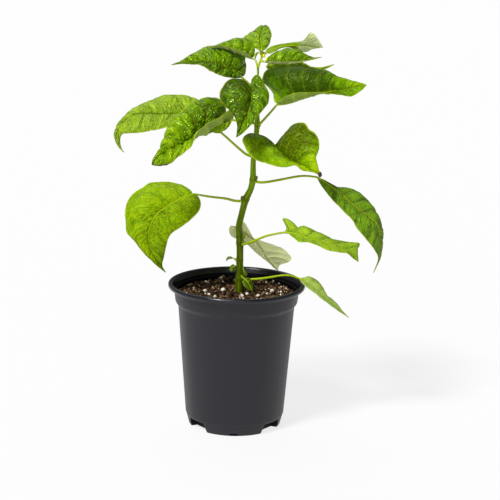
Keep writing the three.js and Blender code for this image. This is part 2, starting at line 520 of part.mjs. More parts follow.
function toMesh(name, manifold, colour, roughness) {
  const data = manifold.getMesh();
  const geometry = new THREE.BufferGeometry();
  geometry.setAttribute('position', new THREE.BufferAttribute(new Float32Array(data.vertProperties), 3));
  geometry.setIndex(new THREE.BufferAttribute(new Uint32Array(data.triVerts), 1));
  geometry.computeVertexNormals();
  const material = new THREE.MeshStandardMaterial({ color: colour, roughness, metalness: 0 });
  const mesh = new THREE.Mesh(geometry, material);
  mesh.name = name;
  return mesh;
}

// ---------- Pot ----------
// A point at an angle from the front, in degrees.
const around = (angle, r, z) => [r * Math.sin(angle * DEG), -r * Math.cos(angle * DEG), z];

function notchCutter(angle) {
  const corners = [[-1, 30], [-1, 60], [NOTCH_TOP, 60], [NOTCH_TOP, 30]];
  const vertices = [];
  for (const sign of [-1, 1]) {
    for (const [z, r] of corners) {
      const half = z < 0 ? NOTCH_FOOT_HALF + 1 : NOTCH_TOP_HALF;
      vertices.push(around(angle + sign * half, r * (r > 40 ? 1 : 1.16), z));
    }
  }
  const triangles = [[0, 2, 1], [0, 3, 2], [4, 5, 6], [4, 6, 7]];
  for (let i = 0; i < 4; i += 1) {
    const j = (i + 1) % 4;
    triangles.push([i, j, j + 4], [i, j + 4, i + 4]);
  }
  return outward(vertices, triangles);
}

function buildPot() {
  const floor = [[0, POT_FLOOR_TOP], [0, 0]];
  const profile = [...floor, ...POT_OUTER, ...POT_INNER, floor[0]];
  let pot = turned(profile, POT_SIDES);
  for (const angle of NOTCH_ANGLES) {
    pot = pot.subtract(notchCutter(angle));
  }
  for (const angle of DRAIN_ANGLES) {
    const cutter = Manifold.cube(DRAIN_SIZE, true).rotate([0, 0, angle - 90])
      .translate(around(angle, DRAIN_R, POT_RING_TOP - 0.7));
    pot = pot.subtract(cutter);
  }
  for (const sign of [-1, 1]) {
    const slot = Manifold.cube([SLOT_SIZE[0], SLOT_SIZE[1], SLOT_SIZE[2] * 2], true)
      .translate([0, sign * 40.5, 0]);
    pot = pot.subtract(slot);
  }
  return pot;
}

// ---------- Potting mix ----------
function soilHeight(x, y) {
  const crumbs = Math.sin(x * 0.61 + 1.7) * Math.sin(y * 0.53 + 0.4)
    + 0.6 * Math.sin(x * 1.13 - y * 0.71 + 2.1)
    + 0.5 * Math.sin(x * 0.37 + y * 1.27);
  let grain = 0;
  for (const [gx, gy] of GRAINS) {
    const d = Math.hypot(x - gx, y - gy) / GRAIN_REACH;
    if (d < 1) {
      grain = Math.max(grain, GRAIN_HEIGHT * (1 - d * d));
    }
  }
  const back = (1.2 * y) / 50;
  return SOIL_TOP + back + (SOIL_BUMP * crumbs) / 2 + grain;
}

function buildSoil(stemHole) {
  // Side and bottom follow the pot's inner wall at the clearance, then the top is gridded.
  const g = GAP;
  const side = [
    [0, POT_FLOOR_TOP + g], [POT_FLOOR_R - 1.4 - g, POT_FLOOR_TOP + g],
    [POT_FLOOR_R - 0.4 - g, POT_RING_TOP + g], [41.5 - g, POT_RING_TOP + g], [42.4 - g, 12.2],
    [49.8 - g, 109.0], [52.2 - g, 112.6], [SOIL_EDGE_R, 116.2],
  ];
  const rings = side.slice(1).map(([r, z]) => ({ r, z: () => z }));
  for (const r of [...SOIL_RINGS].reverse()) {
    rings.push({ r, z: soilHeight });
  }
  const vertices = [];
  for (const { r, z } of rings) {
    for (let j = 0; j < SOIL_SIDES; j += 1) {
      const [x, y] = around((360 * j) / SOIL_SIDES, r, 0);
      vertices.push([x, y, z(x, y)]);
    }
  }
  const bottom = vertices.push([0, 0, POT_FLOOR_TOP + g]) - 1;
  const top = vertices.push([0, 0, soilHeight(0, 0)]) - 1;
  const triangles = [];
  const n = SOIL_SIDES;
  for (let i = 0; i < rings.length - 1; i += 1) {
    for (let j = 0; j < n; j += 1) {
      const a = i * n + j;
      const b = i * n + ((j + 1) % n);
      triangles.push([a, b, b + n], [a, b + n, a + n]);
    }
  }
  const last = (rings.length - 1) * n;
  for (let j = 0; j < n; j += 1) {
    const k = (j + 1) % n;
    triangles.push([bottom, k, j], [top, last + j, last + k]);
  }
  return outward(vertices, triangles).subtract(stemHole);
}

// ---------- Stem ----------
function bud([x, y, z, across, along], extra) {
  const ball = new THREE.OctahedronGeometry(1, 1);
  const position = ball.attributes.position;
  const seen = new Map();
  const vertices = [];
  const index = [];
  for (let i = 0; i < position.count; i += 1) {
    const p = [position.getX(i), position.getY(i), position.getZ(i)];
    const key = p.map((v) => Math.round(v * 1e4)).join();
    if (!seen.has(key)) {
      seen.set(key, vertices.length);
      vertices.push([x + p[0] * (across + extra), y + p[1] * (across + extra), z + p[2] * (along + extra)]);
    }
    index.push(seen.get(key));
  }
  const triangles = [];
  for (let i = 0; i < index.length; i += 3) {
    triangles.push(index.slice(i, i + 3));
  }
  return outward(vertices, triangles);
}

// The points with both ends moved outward, to keep a clearance past the ends as well.
function lengthened(points, by) {
  const n = points.length - 1;
  const first = add(points[0], unit(add(points[0], points[1], -1)), by);
  const last = add(points[n], unit(add(points[n], points[n - 1], -1)), by);
  return [first, ...points.slice(1, n).map((p) => p.slice(0, 3)), last];
}

// The stem with its fork, buds and growing tip. extra widens it, for cutting clearances.
function buildStem(extra) {
  const radii = STEM.map((p) => p[3]);
  const rows = STEM_ROWS;
  const ridge = (j) => (extra ? 1 : (j % 2 ? 1 - STEM_RIDGE : 1));
  // The radius list is per point, so it is read at the share of the length of each point.
  const share = STEM.map((p, i) => {
    let d = 0;
    for (let k = 1; k <= i; k += 1) {
      d += Math.hypot(...add(STEM[k], STEM[k - 1], -1));
    }
    return d;
  });
  const total = share[share.length - 1];
  const radius = (s) => {
    const d = s * total;
    let i = 0;
    while (i < share.length - 2 && share[i + 1] < d) {
      i += 1;
    }
    return lerp(radii[i], radii[i + 1], (d - share[i]) / (share[i + 1] - share[i])) + extra;
  };
  let stem = tube(lengthened(STEM, extra), radius, STEM_SIDES, rows, ridge);
  for (const branch of FORK_BRANCHES) {
    const list = branch.map((p) => p[3]);
    stem = stem.add(tube(lengthened(branch, extra), (s) => station(list, s) + extra, STALK_SIDES, 5));
  }
  for (const b of BUDS) {
    stem = stem.add(bud(b, extra));
  }
  return stem.simplify(SIMPLIFY);
}

// ---------- Leaves ----------
// The edge of one half of a blade, from the stalk round to the tip.
function bladeEdge(leaf, half) {
  return makeCurve([leaf.rib[0], ...leaf[half], leaf.rib[leaf.rib.length - 1]], leaf.face);
}

// The blade's greatest half-width.
function widestHalf(leaf) {
  const rib = makeCurve(leaf.rib, leaf.face);
  let widest = 0;
  for (const half of ['left', 'right']) {
    const edge = bladeEdge(leaf, half);
    for (let s = 0; s < 1; s += 0.05) {
      widest = Math.max(widest, Math.hypot(...add(edge.point(s), rib.point(s), -1)));
    }
  }
  return widest;
}

// Grid of points over the blade: one row per step along the rib, from the left edge to the right.
function bladeGrid(leaf, rows, cols) {
  const rib = makeCurve(leaf.rib, leaf.face);
  const edges = { left: bladeEdge(leaf, 'left'), right: bladeEdge(leaf, 'right') };
  const grid = [];
  for (let i = 0; i <= rows; i += 1) {
    const s = lerp(FIRST_SHARE, LAST_SHARE, (i / rows) ** ROW_GROWTH);
    const p = rib.point(s);
    const t = rib.tangent(s);
    const side = rib.side(s);
    const up = cross(side, t);
    const row = [];
    for (let j = -cols; j <= cols; j += 1) {
      const half = j < 0 ? 'left' : 'right';
      const sign = j < 0 ? -1 : 1;
      const u = Math.abs(j) / cols;
      const reach = add(add(edges[half].point(s), p, -1), side, sign * EDGE_HALF);
      const normal = unit(add(cross(unit(reach).map((v) => v * sign), t), up, UP_SHARE));
      const lift = station(leaf.camber[half], s) * Math.hypot(...reach) * 4 * u * (1 - u);
      row.push(add(add(p, reach, u), normal, lift));
    }
    grid.push(row);
  }
  return { grid, rib };
}

function bladeSolid(grid) {
  const rows = grid.length;
  const cols = grid[0].length;
  const vertices = [];
  for (const offset of [BLADE_T / 2, -BLADE_T / 2]) {
    for (let i = 0; i < rows; i += 1) {
      for (let j = 0; j < cols; j += 1) {
        const along = add(grid[Math.min(i + 1, rows - 1)][j], grid[Math.max(i - 1, 0)][j], -1);
        const across = add(grid[i][Math.min(j + 1, cols - 1)], grid[i][Math.max(j - 1, 0)], -1);
        vertices.push(add(grid[i][j], unit(cross(across, along)), offset));
      }
    }
  }
  const under = rows * cols;
  const triangles = [];
  for (let i = 0; i < rows - 1; i += 1) {
    for (let j = 0; j < cols - 1; j += 1) {
      const a = i * cols + j;
      const [b, c, d] = [a + 1, a + cols + 1, a + cols];
      const split = j < (cols - 1) / 2 ? [[a, b, d], [b, c, d]] : [[a, b, c], [a, c, d]];
      for (const [p, q, r] of split) {
        triangles.push([p, q, r], [p + under, r + under, q + under]);
      }
    }
  }
  const rim = [];
  for (let j = 0; j < cols - 1; j += 1) {
    rim.push(j);
  }
  for (let i = 0; i < rows - 1; i += 1) {
    rim.push(i * cols + cols - 1);
  }
  for (let j = cols - 1; j > 0; j -= 1) {
    rim.push((rows - 1) * cols + j);
  }
  for (let i = rows - 1; i > 0; i -= 1) {
    rim.push(i * cols);
  }
  rim.forEach((a, k) => {
    const b = rim[(k + 1) % rim.length];
    triangles.push([a, a + under, b + under], [a, b + under, b]);
  });
  return outward(vertices, triangles);
}

function buildLeaf(leaf, rows, cols, [r0, r1], sides, keepOut) {
  const { grid, rib } = bladeGrid(leaf, rows, cols);
  // The stalk runs on under the blade as its thick rib, thinning toward the tip.
  const stalk = makeCurve(leaf.stalk, leaf.face);
  const stalkRows = Math.max(3, Math.round(stalk.length / 7));
  const points = [];
  const radii = [];
  for (let i = 0; i <= stalkRows; i += 1) {
    const s = i / stalkRows;
    points.push(stalk.point(s * 0.999));
    radii.push(lerp(r0, r1, s));
  }
  const ribRows = Math.round(rows * 0.5);
  for (let i = 1; i <= ribRows; i += 1) {
    const s = (RIB_SHARE * i) / ribRows;
    const down = cross(rib.tangent(s), rib.side(s));
    points.push(add(rib.point(s), down, Math.min(0.35, 2 * s)));
    radii.push(lerp(r1, RIB_END_R, i / ribRows));
  }
  const share = [0];
  for (let i = 1; i < points.length; i += 1) {
    share.push(share[i - 1] + Math.hypot(...add(points[i], points[i - 1], -1)));
  }
  const total = share[share.length - 1];
  const radius = (s) => {
    let i = 0;
    while (i < share.length - 2 && share[i + 1] < s * total) {
      i += 1;
    }
    return lerp(radii[i], radii[i + 1], (s * total - share[i]) / (share[i + 1] - share[i]));
  };
  const stalkSolid = tube(points, radius, sides, points.length - 1);
  return bladeSolid(grid).add(stalkSolid).subtract(keepOut).simplify(SIMPLIFY);
}

// ---------- The whole plant in its pot ----------
const group = new THREE.Group();
group.name = 'potted_chilli_pepper_plant';

const stem = buildStem(0);
const keepOut = buildStem(GAP);
group.add(toMesh('pot', buildPot(), COLOURS.pot, 0.5));
group.add(toMesh('potting_mix', buildSoil(buildStem(SOIL_HOLE_EXTRA)), COLOURS.soil, 1));
group.add(toMesh('stem', stem, COLOURS.stem, 0.6));

for (const [name, leaf] of Object.entries(LEAVES)) {
  const radii = TOP_LEAVES.includes(name) ? TOP_STALK_R : STALK_R;
  let colour = COLOURS.leaf;
  if (name === 'leaf_lower_left' || name === 'leaf_left_back') {
    colour = COLOURS.leafYellow;
  } else if (name === 'leaf_pale_back') {
    colour = COLOURS.leafPale;
  }
  const cols = widestHalf(leaf) < NARROW_HALF ? NARROW_COLS : COLS;
  group.add(toMesh(name, buildLeaf(leaf, ROWS, cols, radii, STALK_SIDES, keepOut), colour, 0.45));
}
for (const [name, leaf] of Object.entries(SMALL_LEAVES)) {
  const made = buildLeaf(
    leaf, SMALL_ROWS, SMALL_COLS, SMALL_STALK_R, SMALL_STALK_SIDES, keepOut);
  group.add(toMesh(name, made, COLOURS.leaf, 0.45));
}

export default group;
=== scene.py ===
import math

import bmesh
import bpy
import numpy as np
from mathutils import Matrix, Vector


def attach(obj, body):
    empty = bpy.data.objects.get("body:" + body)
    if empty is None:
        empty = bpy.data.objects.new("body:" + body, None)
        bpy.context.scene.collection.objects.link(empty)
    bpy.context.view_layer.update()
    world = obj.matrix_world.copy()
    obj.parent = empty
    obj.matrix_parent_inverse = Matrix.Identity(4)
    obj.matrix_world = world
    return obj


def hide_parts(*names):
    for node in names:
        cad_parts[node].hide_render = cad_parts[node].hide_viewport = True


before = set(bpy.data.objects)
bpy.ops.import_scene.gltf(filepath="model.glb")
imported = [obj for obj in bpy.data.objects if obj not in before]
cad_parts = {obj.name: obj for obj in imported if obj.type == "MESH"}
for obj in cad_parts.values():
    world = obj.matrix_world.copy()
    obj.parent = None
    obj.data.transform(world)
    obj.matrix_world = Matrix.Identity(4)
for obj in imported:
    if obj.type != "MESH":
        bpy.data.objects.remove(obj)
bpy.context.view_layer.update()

bl_info = {
    "name": "Potted chilli pepper plant",
    "version": (1, 0, 0),
    "blender": (4, 5, 0),
    "location": "View3D > Sidebar > Chilli plant",
    "description": "A young chilli pepper plant with veined leaves, in a round nursery pot",
    "category": "Add Mesh",
}

BODY = "root"
MM = 0.001  # metres in a millimetre. The tables below are in millimetres, with +Z up and the front at -Y.

# ---------- Leaves: form ----------
# The stalk and the rib run through the listed points. "left" and "right" are the points that each edge
# of the blade runs through from the stalk round to the tip, and "camber" is how far each half swells
# between rib and edge, as a share of its width. "face" is roughly where the upper face looks.
SIGN = {"left": -1, "right": 1}
EDGE_HALF = 0.25  # half-width left at the very tip and base
UP_SHARE = 0.5  # how far a half swells along the rib's own upward direction
FIRST_SHARE, LAST_SHARE = 0.012, 0.997  # where along the rib the blade begins and ends
LEAVES = {
    "leaf_lower_left": {
        "stalk": [(6.2, 3, 199.5), (-3, 2, 200), (-11, 1, 202), (-24, 0, 203.5), (-38, -2, 206)],
        "rib": [(-38, -2, 206), (-43, -4, 205), (-50, -7, 202.5), (-56.5, -10, 199), (-63.5, -13, 195),
                (-69.5, -16, 190.5), (-73, -18, 185), (-75.5, -19, 178), (-76, -19, 169.5),
                (-74, -18, 159.5), (-68.5, -15, 148), (-61.5, -12, 138)],
        "face": (-0.25, -0.75, 0.6),
        "left": [(-34.5, -4, 204.5), (-32, -9, 199.5), (-34, -14, 193), (-41, -18, 186.5),
                 (-49, -21, 180.5), (-57, -23, 175), (-60.5, -22, 166), (-63, -18, 154.5),
                 (-64.5, -15, 145.5)],
        "right": [(-43.5, 4, 209.5), (-50.5, 8, 212), (-59.5, 10, 213.5), (-70, 10, 213), (-77, 8, 212.5),
                  (-82.5, 4, 209.5), (-89, 0, 206), (-94, -4, 200.5), (-96.5, -8, 194), (-96, -12, 186),
                  (-95, -15, 175), (-88.5, -17, 168), (-81, -19, 158.5), (-71.5, -17, 148)],
        "camber": {"left": [-0.05, 0.12, 0.12, 0.05], "right": [0.05, 0.14, 0.14, 0.05]},
    },
    "leaf_lower_right": {
        "stalk": [(2.4, 5, 130), (8, 3, 129.8), (14, 1.8, 130.2), (25, 0, 132), (39, -2, 135),
                  (47, -3, 135.3), (54.5, -3, 133)],
        "rib": [(54.5, -3, 133), (59.5, -4, 130.5), (65.5, -5, 126), (73, -6, 120.5), (80, -6, 114.5),
                (87, -5, 108.5), (93.5, -4, 103.5), (99, -3, 98.5)],
        "face": (0.2, -0.1, 1),
        "left": [(58, 0, 133), (62.5, 3, 133.5), (66.5, 4, 132), (71.5, 4, 129), (75.5, 3, 123),
                 (78.5, 0, 117.5), (83, 0, 115), (88, -1, 110.5), (92.5, -2, 104.5)],
        "right": [(57, -8, 130), (62, -11, 126.5), (69, -13, 122), (77, -13, 115.5), (85, -10, 109),
                  (91.5, -7, 104)],
        "camber": {"left": [0.1, 0.15, 0.1], "right": [0.1, 0.1, 0.1]},
    },
    "leaf_pale_back": {
        "stalk": [(2.3, 5, 159), (2.8, 9, 161.5), (2.4, 11.5, 164), (0, 13.5, 171.5)],
        "rib": [(0, 13.5, 171.5), (6.5, 16, 169), (11.5, 19, 164.5), (17, 22.5, 159), (22.5, 27, 151),
                (27, 31.5, 142), (36.5, 38, 130)],
        "face": (0.1, 0.8, 0.5),
        "left": [(-5, 13.5, 175.5), (-7.5, 14, 172), (-5.5, 14.5, 166), (1, 16, 162.5), (8.5, 19, 157.5),
                 (18, 25, 147.5), (27.5, 32, 138.5), (33.5, 36.5, 132)],
        "right": [(1.5, 15, 177), (5, 17, 178), (9.5, 19, 171), (14, 22, 162.5), (21.5, 27, 159),
                  (30.5, 32, 155), (38.5, 37, 151), (44, 39, 146.5), (48, 40, 141), (45.5, 40, 137),
                  (40, 39, 135.5), (37, 38.5, 133)],
        "camber": {"left": [0.05, -0.06, 0.05], "right": [0.08, -0.06, 0.06]},
    },
    "leaf_curled_right": {
        "stalk": [(2.2, 5, 160.5), (6, 1.5, 161.8), (13, -2, 165), (24, -7, 171), (34, -11, 174.5),
                  (40, -15, 176.5)],
        "rib": [(40, -15, 176.5), (46, -17.5, 177), (53.5, -20, 176), (62, -22, 173.5), (72.5, -24, 171),
                (82.5, -25, 168.5), (92.5, -24, 164), (99.5, -23, 159), (104.5, -22, 153.5)],
        "face": (0, 0, 1),
        "left": [(42.5, -13, 180), (40.5, -11, 183.5), (38.5, -10, 187.5), (42.5, -9, 187),
                 (46.5, -11, 184), (50.5, -13, 180.5), (56, -13, 182), (63, -12, 179), (72.5, -12, 175),
                 (82.5, -14, 170.5), (92.5, -14, 169), (100.5, -15, 168.5), (105, -16, 168),
                 (103.5, -18, 164), (103.5, -20, 159.5)],
        "right": [(43.5, -19, 176.5), (48, -23, 173.5), (52.5, -27, 171), (60, -30, 171.5),
                  (69, -31, 169), (76.5, -31, 165.5), (86, -30, 163.5), (94, -28, 162), (99.5, -25, 157)],
        "camber": {"left": [0.1, 0.1, 0.12, 0.1], "right": [-0.1, -0.12, 0.1, 0.05]},
    },
    "leaf_drooping_right": {
        "stalk": [(12.3, 2, 218), (17, 1, 217), (23, 0, 217.2), (35, -3, 220), (50, -7, 224),
                  (59, -9, 225), (67, -11, 224.5)],
        "rib": [(67, -11, 224.5), (75, -13, 220), (81.5, -15, 215.5), (88.5, -17, 210.5),
                (95.5, -19, 204.5), (101.5, -21, 200), (107, -22.5, 196), (113, -24, 192.5),
                (118.5, -25, 187), (121, -25, 177), (122, -23.5, 166.5), (122, -20.5, 156),
                (118, -17, 142.5)],
        "face": (0.5, -0.5, 0.7),
        "left": [(72.5, -11, 222.5), (78.5, -10.5, 219), (83.5, -9.5, 216), (88, -8, 215), (93, -7, 215),
                 (99.5, -7, 213.5), (106, -8, 209.5), (113, -10, 203), (118, -12, 195.5), (121, -14, 187),
                 (123, -15, 177), (123.5, -17, 166), (123, -18.5, 157)],
        "right": [(70.5, -14, 218.5), (75.5, -18, 212.5), (82.5, -23, 205), (89.5, -27, 199),
                  (96, -30, 193), (103, -32, 183), (110, -31, 175), (116.5, -28, 166.5), (121, -22, 157)],
        "camber": {"left": [0.05, 0.15, 0.2, 0.1], "right": [0.1, 0.15, 0.15, 0.05]},
    },
    "leaf_right_heart": {
        "stalk": [(14, 0.2, 252), (17, -6, 252), (21, -13, 251), (29.5, -22, 250.5)],
        "rib": [(29.5, -22, 250.5), (34.5, -29, 248.5), (39, -36, 246), (43.5, -43, 243.5),
                (50.5, -50, 242), (57.5, -55, 239.5), (67.5, -58, 235.5)],
        "face": (-0.2, -0.5, 0.8),
        "left": [(31, -20, 253.5), (35.5, -18, 259), (40.5, -18, 265), (45, -20, 270.5), (50.5, -23, 273),
                 (55.5, -28, 272.5), (58.5, -33, 268.5), (63, -38, 266.5), (66, -43, 262),
                 (66.5, -49, 255.5), (64, -53, 249), (65.5, -56.5, 242.5)],
        "right": [(26.5, -20, 251.5), (22.5, -17, 253.5), (17.5, -15, 259.5), (11.5, -14, 262),
                  (6, -15, 260.5), (3, -18, 256.5), (5.5, -22, 251.5), (9, -27, 246), (15.5, -33, 242),
                  (26.5, -42, 240), (38, -50, 239.5), (47, -54.5, 242), (52.5, -57, 239),
                  (61, -58.5, 237.5)],
        "camber": {"left": [0.12, 0.16, 0.16, 0.1], "right": [0.08, 0.16, 0.16, 0.1]},
    },
    "leaf_left_front": {
        "stalk": [(12.9, 1, 239), (7, -4, 241.5), (1, -10, 247), (-11, -19, 259), (-21, -27, 269)],
        "rib": [(-21, -27, 269), (-27.5, -30, 268.5), (-34, -34, 264.5), (-39, -38, 259.5),
                (-44, -41, 256), (-51.5, -44, 253.5), (-59.5, -46, 250), (-66.5, -47, 245.5),
                (-72, -47.5, 239)],
        "face": (-0.3, -0.8, 0.6),
        "left": [(-12.5, -29, 273), (-5.5, -31, 277.5), (-7.5, -31, 283.5), (-12.5, -34, 280.5),
                 (-19.5, -38, 277), (-26, -43, 274), (-31.5, -47, 270), (-35.5, -51, 263.5),
                 (-39, -54, 255.5), (-44.5, -56, 250.5), (-50, -56, 247), (-53.5, -55, 243.5),
                 (-59.5, -52, 240), (-66.5, -49.5, 239)],
        "right": [(-15, -23, 274.5), (-11.5, -19, 280), (-14, -16, 287), (-19.5, -14, 291),
                  (-27.5, -15, 291), (-36.5, -19, 288), (-45.5, -24, 282), (-54.5, -29, 274.5),
                  (-59, -34, 267), (-61.5, -39, 258), (-64.5, -43, 250.5), (-69.5, -46, 245.5)],
        "camber": {"left": [-0.3, -0.35, -0.1, 0.1, 0.1], "right": [0.1, 0.16, 0.16, 0.1]},
    },
    "leaf_left_back": {
        "stalk": [(15, 0, 268), (7, 2, 268.6), (-2, 5, 269.4), (-14, 8, 271.3), (-31.5, 10, 278.5)],
        "rib": [(-31.5, 10, 278.5), (-43, 11, 275), (-53, 11, 273), (-67, 9, 272.5), (-79.5, 6, 273),
                (-88.5, 3.5, 273), (-96.5, 1, 269), (-102.5, -1, 262.5), (-104.5, -3, 255),
                (-102.5, -4.5, 247.5), (-98.5, -5.5, 241.5)],
        "face": (-0.1, -0.4, 0.9),
        "left": [(-32.5, 5, 274), (-39, -1, 270), (-49, -5, 266.5), (-60, -7, 265), (-71.5, -9, 262.5),
                 (-82.5, -10, 260), (-93, -9, 259), (-99, -7, 258), (-101.5, -5.5, 253.5),
                 (-101, -5, 247)],
        "right": [(-31.5, 15, 282.5), (-37, 19, 285), (-45.5, 23, 287), (-55.5, 25, 287.5),
                  (-68, 25, 286.5), (-78, 22, 282.5), (-87, 17, 278.5), (-96, 10, 272.5), (-103, 4, 266),
                  (-107, 0, 257.5), (-106, -2.5, 252.5), (-103, -4.5, 246.5)],
        "camber": {"left": [0.1, 0.15, 0.1, 0.1], "right": [0.1, 0.15, 0.15, 0.1]},
    },
    "leaf_centre_front": {
        "stalk": [(15, 0, 292), (14, -5, 295.5), (12.6, -10, 297.8), (10, -17, 298.5)],
        "rib": [(10, -17, 298.5), (9.5, -26, 293.5), (9, -36, 288), (7, -44, 282.5), (3, -49.5, 275),
                (-2, -52, 264)],
        "face": (-0.1, -0.8, 0.5),
        "left": [(11, -14, 303), (12, -12, 309.5), (15.5, -14, 311), (19.5, -18, 305), (23.5, -24, 298),
                 (23.5, -33, 291), (19.5, -41, 286), (14.5, -48, 280.5), (8.5, -53, 273.5),
                 (3, -54, 268)],
        "right": [(7, -13, 301), (3, -11, 305), (-2.5, -11, 307), (-9.5, -14, 306), (-15, -19, 300),
                  (-16.5, -25, 294.5), (-13.5, -33, 289), (-7.5, -41, 284.5), (-2, -47, 279),
                  (-1, -51, 272)],
        "camber": {"left": [0.05, 0.14, 0.14, 0.1], "right": [0.1, 0.2, 0.2, 0.1]},
    },
    "leaf_upper_left": {
        "stalk": [(15, 0, 291), (12.5, -0.5, 296), (9, -1, 300.6), (1, -3, 308)],
        "rib": [(1, -3, 308), (-3, -5, 311.5), (-9, -7, 315), (-15.5, -9, 318.5), (-23, -10.5, 320),
                (-31.5, -11, 320.5), (-40.5, -10.5, 320), (-49, -9, 319.5), (-58.5, -8, 318)],
        "face": (0, -0.5, 0.85),
        "left": [(-2, -8, 307.5), (-8.5, -13, 308), (-17, -17, 311), (-25.5, -19, 314.5),
                 (-32, -18, 318.5), (-40.5, -14, 319), (-50, -10, 319)],
        "right": [(3, 0, 308.5), (4, 6, 313), (4, 11, 320), (2, 14.5, 326), (-5, 16, 330), (-16, 15, 332),
                  (-27, 10, 332), (-33.5, 4.5, 329.5), (-40.5, -1, 326), (-47, -5, 322),
                  (-52.5, -8, 319.5)],
        "camber": {"left": [0.1, 0.12, 0.1], "right": [0.05, 0.07, 0.07, 0.05]},
    },
    "leaf_top_left": {
        "stalk": [(12.9, 2, 321.4), (12, 2.4, 322.6), (10, 3, 323)],
        "rib": [(10, 3, 323), (6, 3, 324.5), (0, 3, 327), (-7.5, 3, 330), (-15, 3, 332),
                (-22, 2.5, 332.5), (-26.5, 2, 332.5)],
        "face": (0, -0.3, 1),
        "left": [(8.5, -1, 325.5), (4.5, -4, 328.5), (-2.5, -5, 331), (-10, -4.5, 333), (-17, -2, 334),
                 (-22.5, 0, 333.5)],
        "right": [(11.5, 5.5, 326.5), (11, 9, 332), (7.5, 12, 336.5), (2, 14, 339), (-4, 14.5, 339),
                  (-10, 13, 336.5), (-15.5, 9.5, 334.5), (-21, 5.5, 333)],
        "camber": {"left": [-0.25, -0.2, 0], "right": [0.12, 0.2, 0.1]},
    },
    "leaf_top": {
        "stalk": [(17.4, 1.8, 325.4), (17.2, 3.4, 327.6), (18, 6, 329.5)],
        "rib": [(18, 6, 329.5), (17, 13, 333.5), (16.5, 22, 338.5), (17.5, 33, 343), (19, 44, 347.5)],
        "face": (0, -0.9, 0.4),
        "left": [(14.5, 8.5, 330), (9.5, 13, 332.5), (4, 18, 335.5), (2, 23, 337.5), (5.5, 29, 339.5),
                 (9.5, 35, 342), (14, 40.5, 345.5), (16.5, 43.5, 347)],
        "right": [(20.5, 9, 330), (23.5, 14, 333.5), (25, 21, 337.5), (25.5, 29, 342), (23.5, 37, 346),
                  (21.5, 42, 347.5)],
        "camber": {"left": [0.1, 0.15, 0.1], "right": [0.1, 0.12, 0.1]},
    },
    "leaf_top_right_folded": {
        "stalk": [(18, 1.6, 324.2), (19, 2.2, 325), (21.5, 3.5, 328.5)],
        "rib": [(21.5, 3.5, 328.5), (26.5, 6, 331), (33.5, 9, 333), (41, 11, 334), (48, 12, 334.5),
                (54.5, 12, 334.5), (61.5, 11, 333.5), (70, 9, 333)],
        "face": (0, 0, 1),
        "left": [(22, 7, 330.5), (27.5, 10.5, 333.5), (36.5, 13, 335), (46, 13.5, 336.5), (52, 12, 337.5),
                 (55, 9, 340), (58, 5, 345.5), (61.5, 4, 345), (65.5, 6, 340), (68, 8, 336)],
        "right": [(24, 1.5, 327.5), (29, 3, 329.5), (35, 8, 332), (42, 12, 332), (47, 15, 329.5),
                  (52.5, 16.5, 328), (57, 16.5, 328.5), (61.5, 14, 331)],
        "camber": {"left": [0, 0.05, 0.1], "right": [0, 0.05, 0.1]},
    },
    "leaf_top_right_middle": {
        "stalk": [(16.2, 0.7, 320.4), (18, 0.4, 321.1), (20.5, -1, 321)],
        "rib": [(20.5, -1, 321), (27.5, -3, 320.5), (36, -4, 320.5), (44.5, -4, 321), (53, -3, 322.5),
                (60.5, -1, 324), (68.5, 1, 326)],
        "face": (0, 0, 1),
        "left": [(22.5, 2, 323.5), (26, 4.5, 326), (31, 7, 329), (37, 8.5, 331), (43, 8, 331.5),
                 (48, 7, 330.5), (53.5, 5.5, 327.5), (58.5, 4, 325), (63, 2, 324.5)],
        "right": [(23, -5, 322), (30, -9, 322.5), (37.5, -10.5, 322), (45, -9.5, 322.5), (52.5, -7, 323),
                  (60.5, -3.5, 324)],
        "camber": {"left": [0.1, 0.2, 0.1], "right": [-0.2, -0.2, 0]},
    },
    "leaf_top_right_lower": {
        "stalk": [(15, 0, 300.5), (17.5, 2.6, 303), (20, 6, 305), (21.5, 8.5, 308.5), (23.5, 10, 313)],
        "rib": [(23.5, 10, 313), (30.5, 12, 315), (40.5, 13, 315.5), (51, 13, 315), (60.5, 12, 314),
                (68, 10.5, 314.5), (74, 9, 316), (79.5, 7.5, 319.5)],
        "face": (0, 0, 1),
        "left": [(22, 13, 315.5), (25, 17, 317.5), (33, 21, 318.5), (42.5, 22, 319.5), (50, 20, 319.5),
                 (55, 17, 317.5), (60, 14, 315.5), (67, 12, 315.5), (73.5, 9.5, 317)],
        "right": [(26, 7, 312.5), (33.5, 4, 312.5), (44, 3, 313), (53, 4, 313), (62, 6, 313),
                  (68.5, 8, 313.5), (75, 8, 316)],
        "camber": {"left": [0.1, 0.15, 0.1], "right": [0.05, 0.1, 0.1]},
    },
    "leaf_right_big": {
        "stalk": [(15, 0, 265.5), (18.5, -3, 269.5), (22, -7, 274), (27, -14, 281), (31.5, -20, 287.5)],
        "rib": [(31.5, -20, 287.5), (37, -24, 289), (43.5, -27.5, 291), (50.5, -30, 294),
                (57.5, -32, 296.5), (66, -33, 299.5), (75.5, -33, 301), (85.5, -32, 302.5),
                (95.5, -31, 304.5), (105.5, -30, 307)],
        "face": (0, -0.35, 0.95),
        "left": [(29, -18, 290), (28, -14, 295.5), (25, -10, 299.5), (19.5, -6, 304.5), (19, -4.5, 308),
                 (22, -4, 314), (31, -5, 317), (40, -8, 318), (50, -12, 318.5), (60, -16, 318),
                 (71, -20, 317), (81.5, -24, 312.5), (91.5, -27, 310), (100.5, -29, 308)],
        "right": [(33.5, -26, 291.5), (37, -32, 296), (42.5, -37, 298.5), (50, -40, 300.5),
                  (58, -41, 301), (66.5, -41.5, 301.5), (74.5, -42, 300.5), (83, -42, 299.5),
                  (91, -40, 298), (97, -37, 300), (101.5, -34, 303)],
        "camber": {"left": [0.1, 0.2, 0.2, 0.1], "right": [-0.15, -0.3, -0.2, 0.05, 0.1]},
    },
}
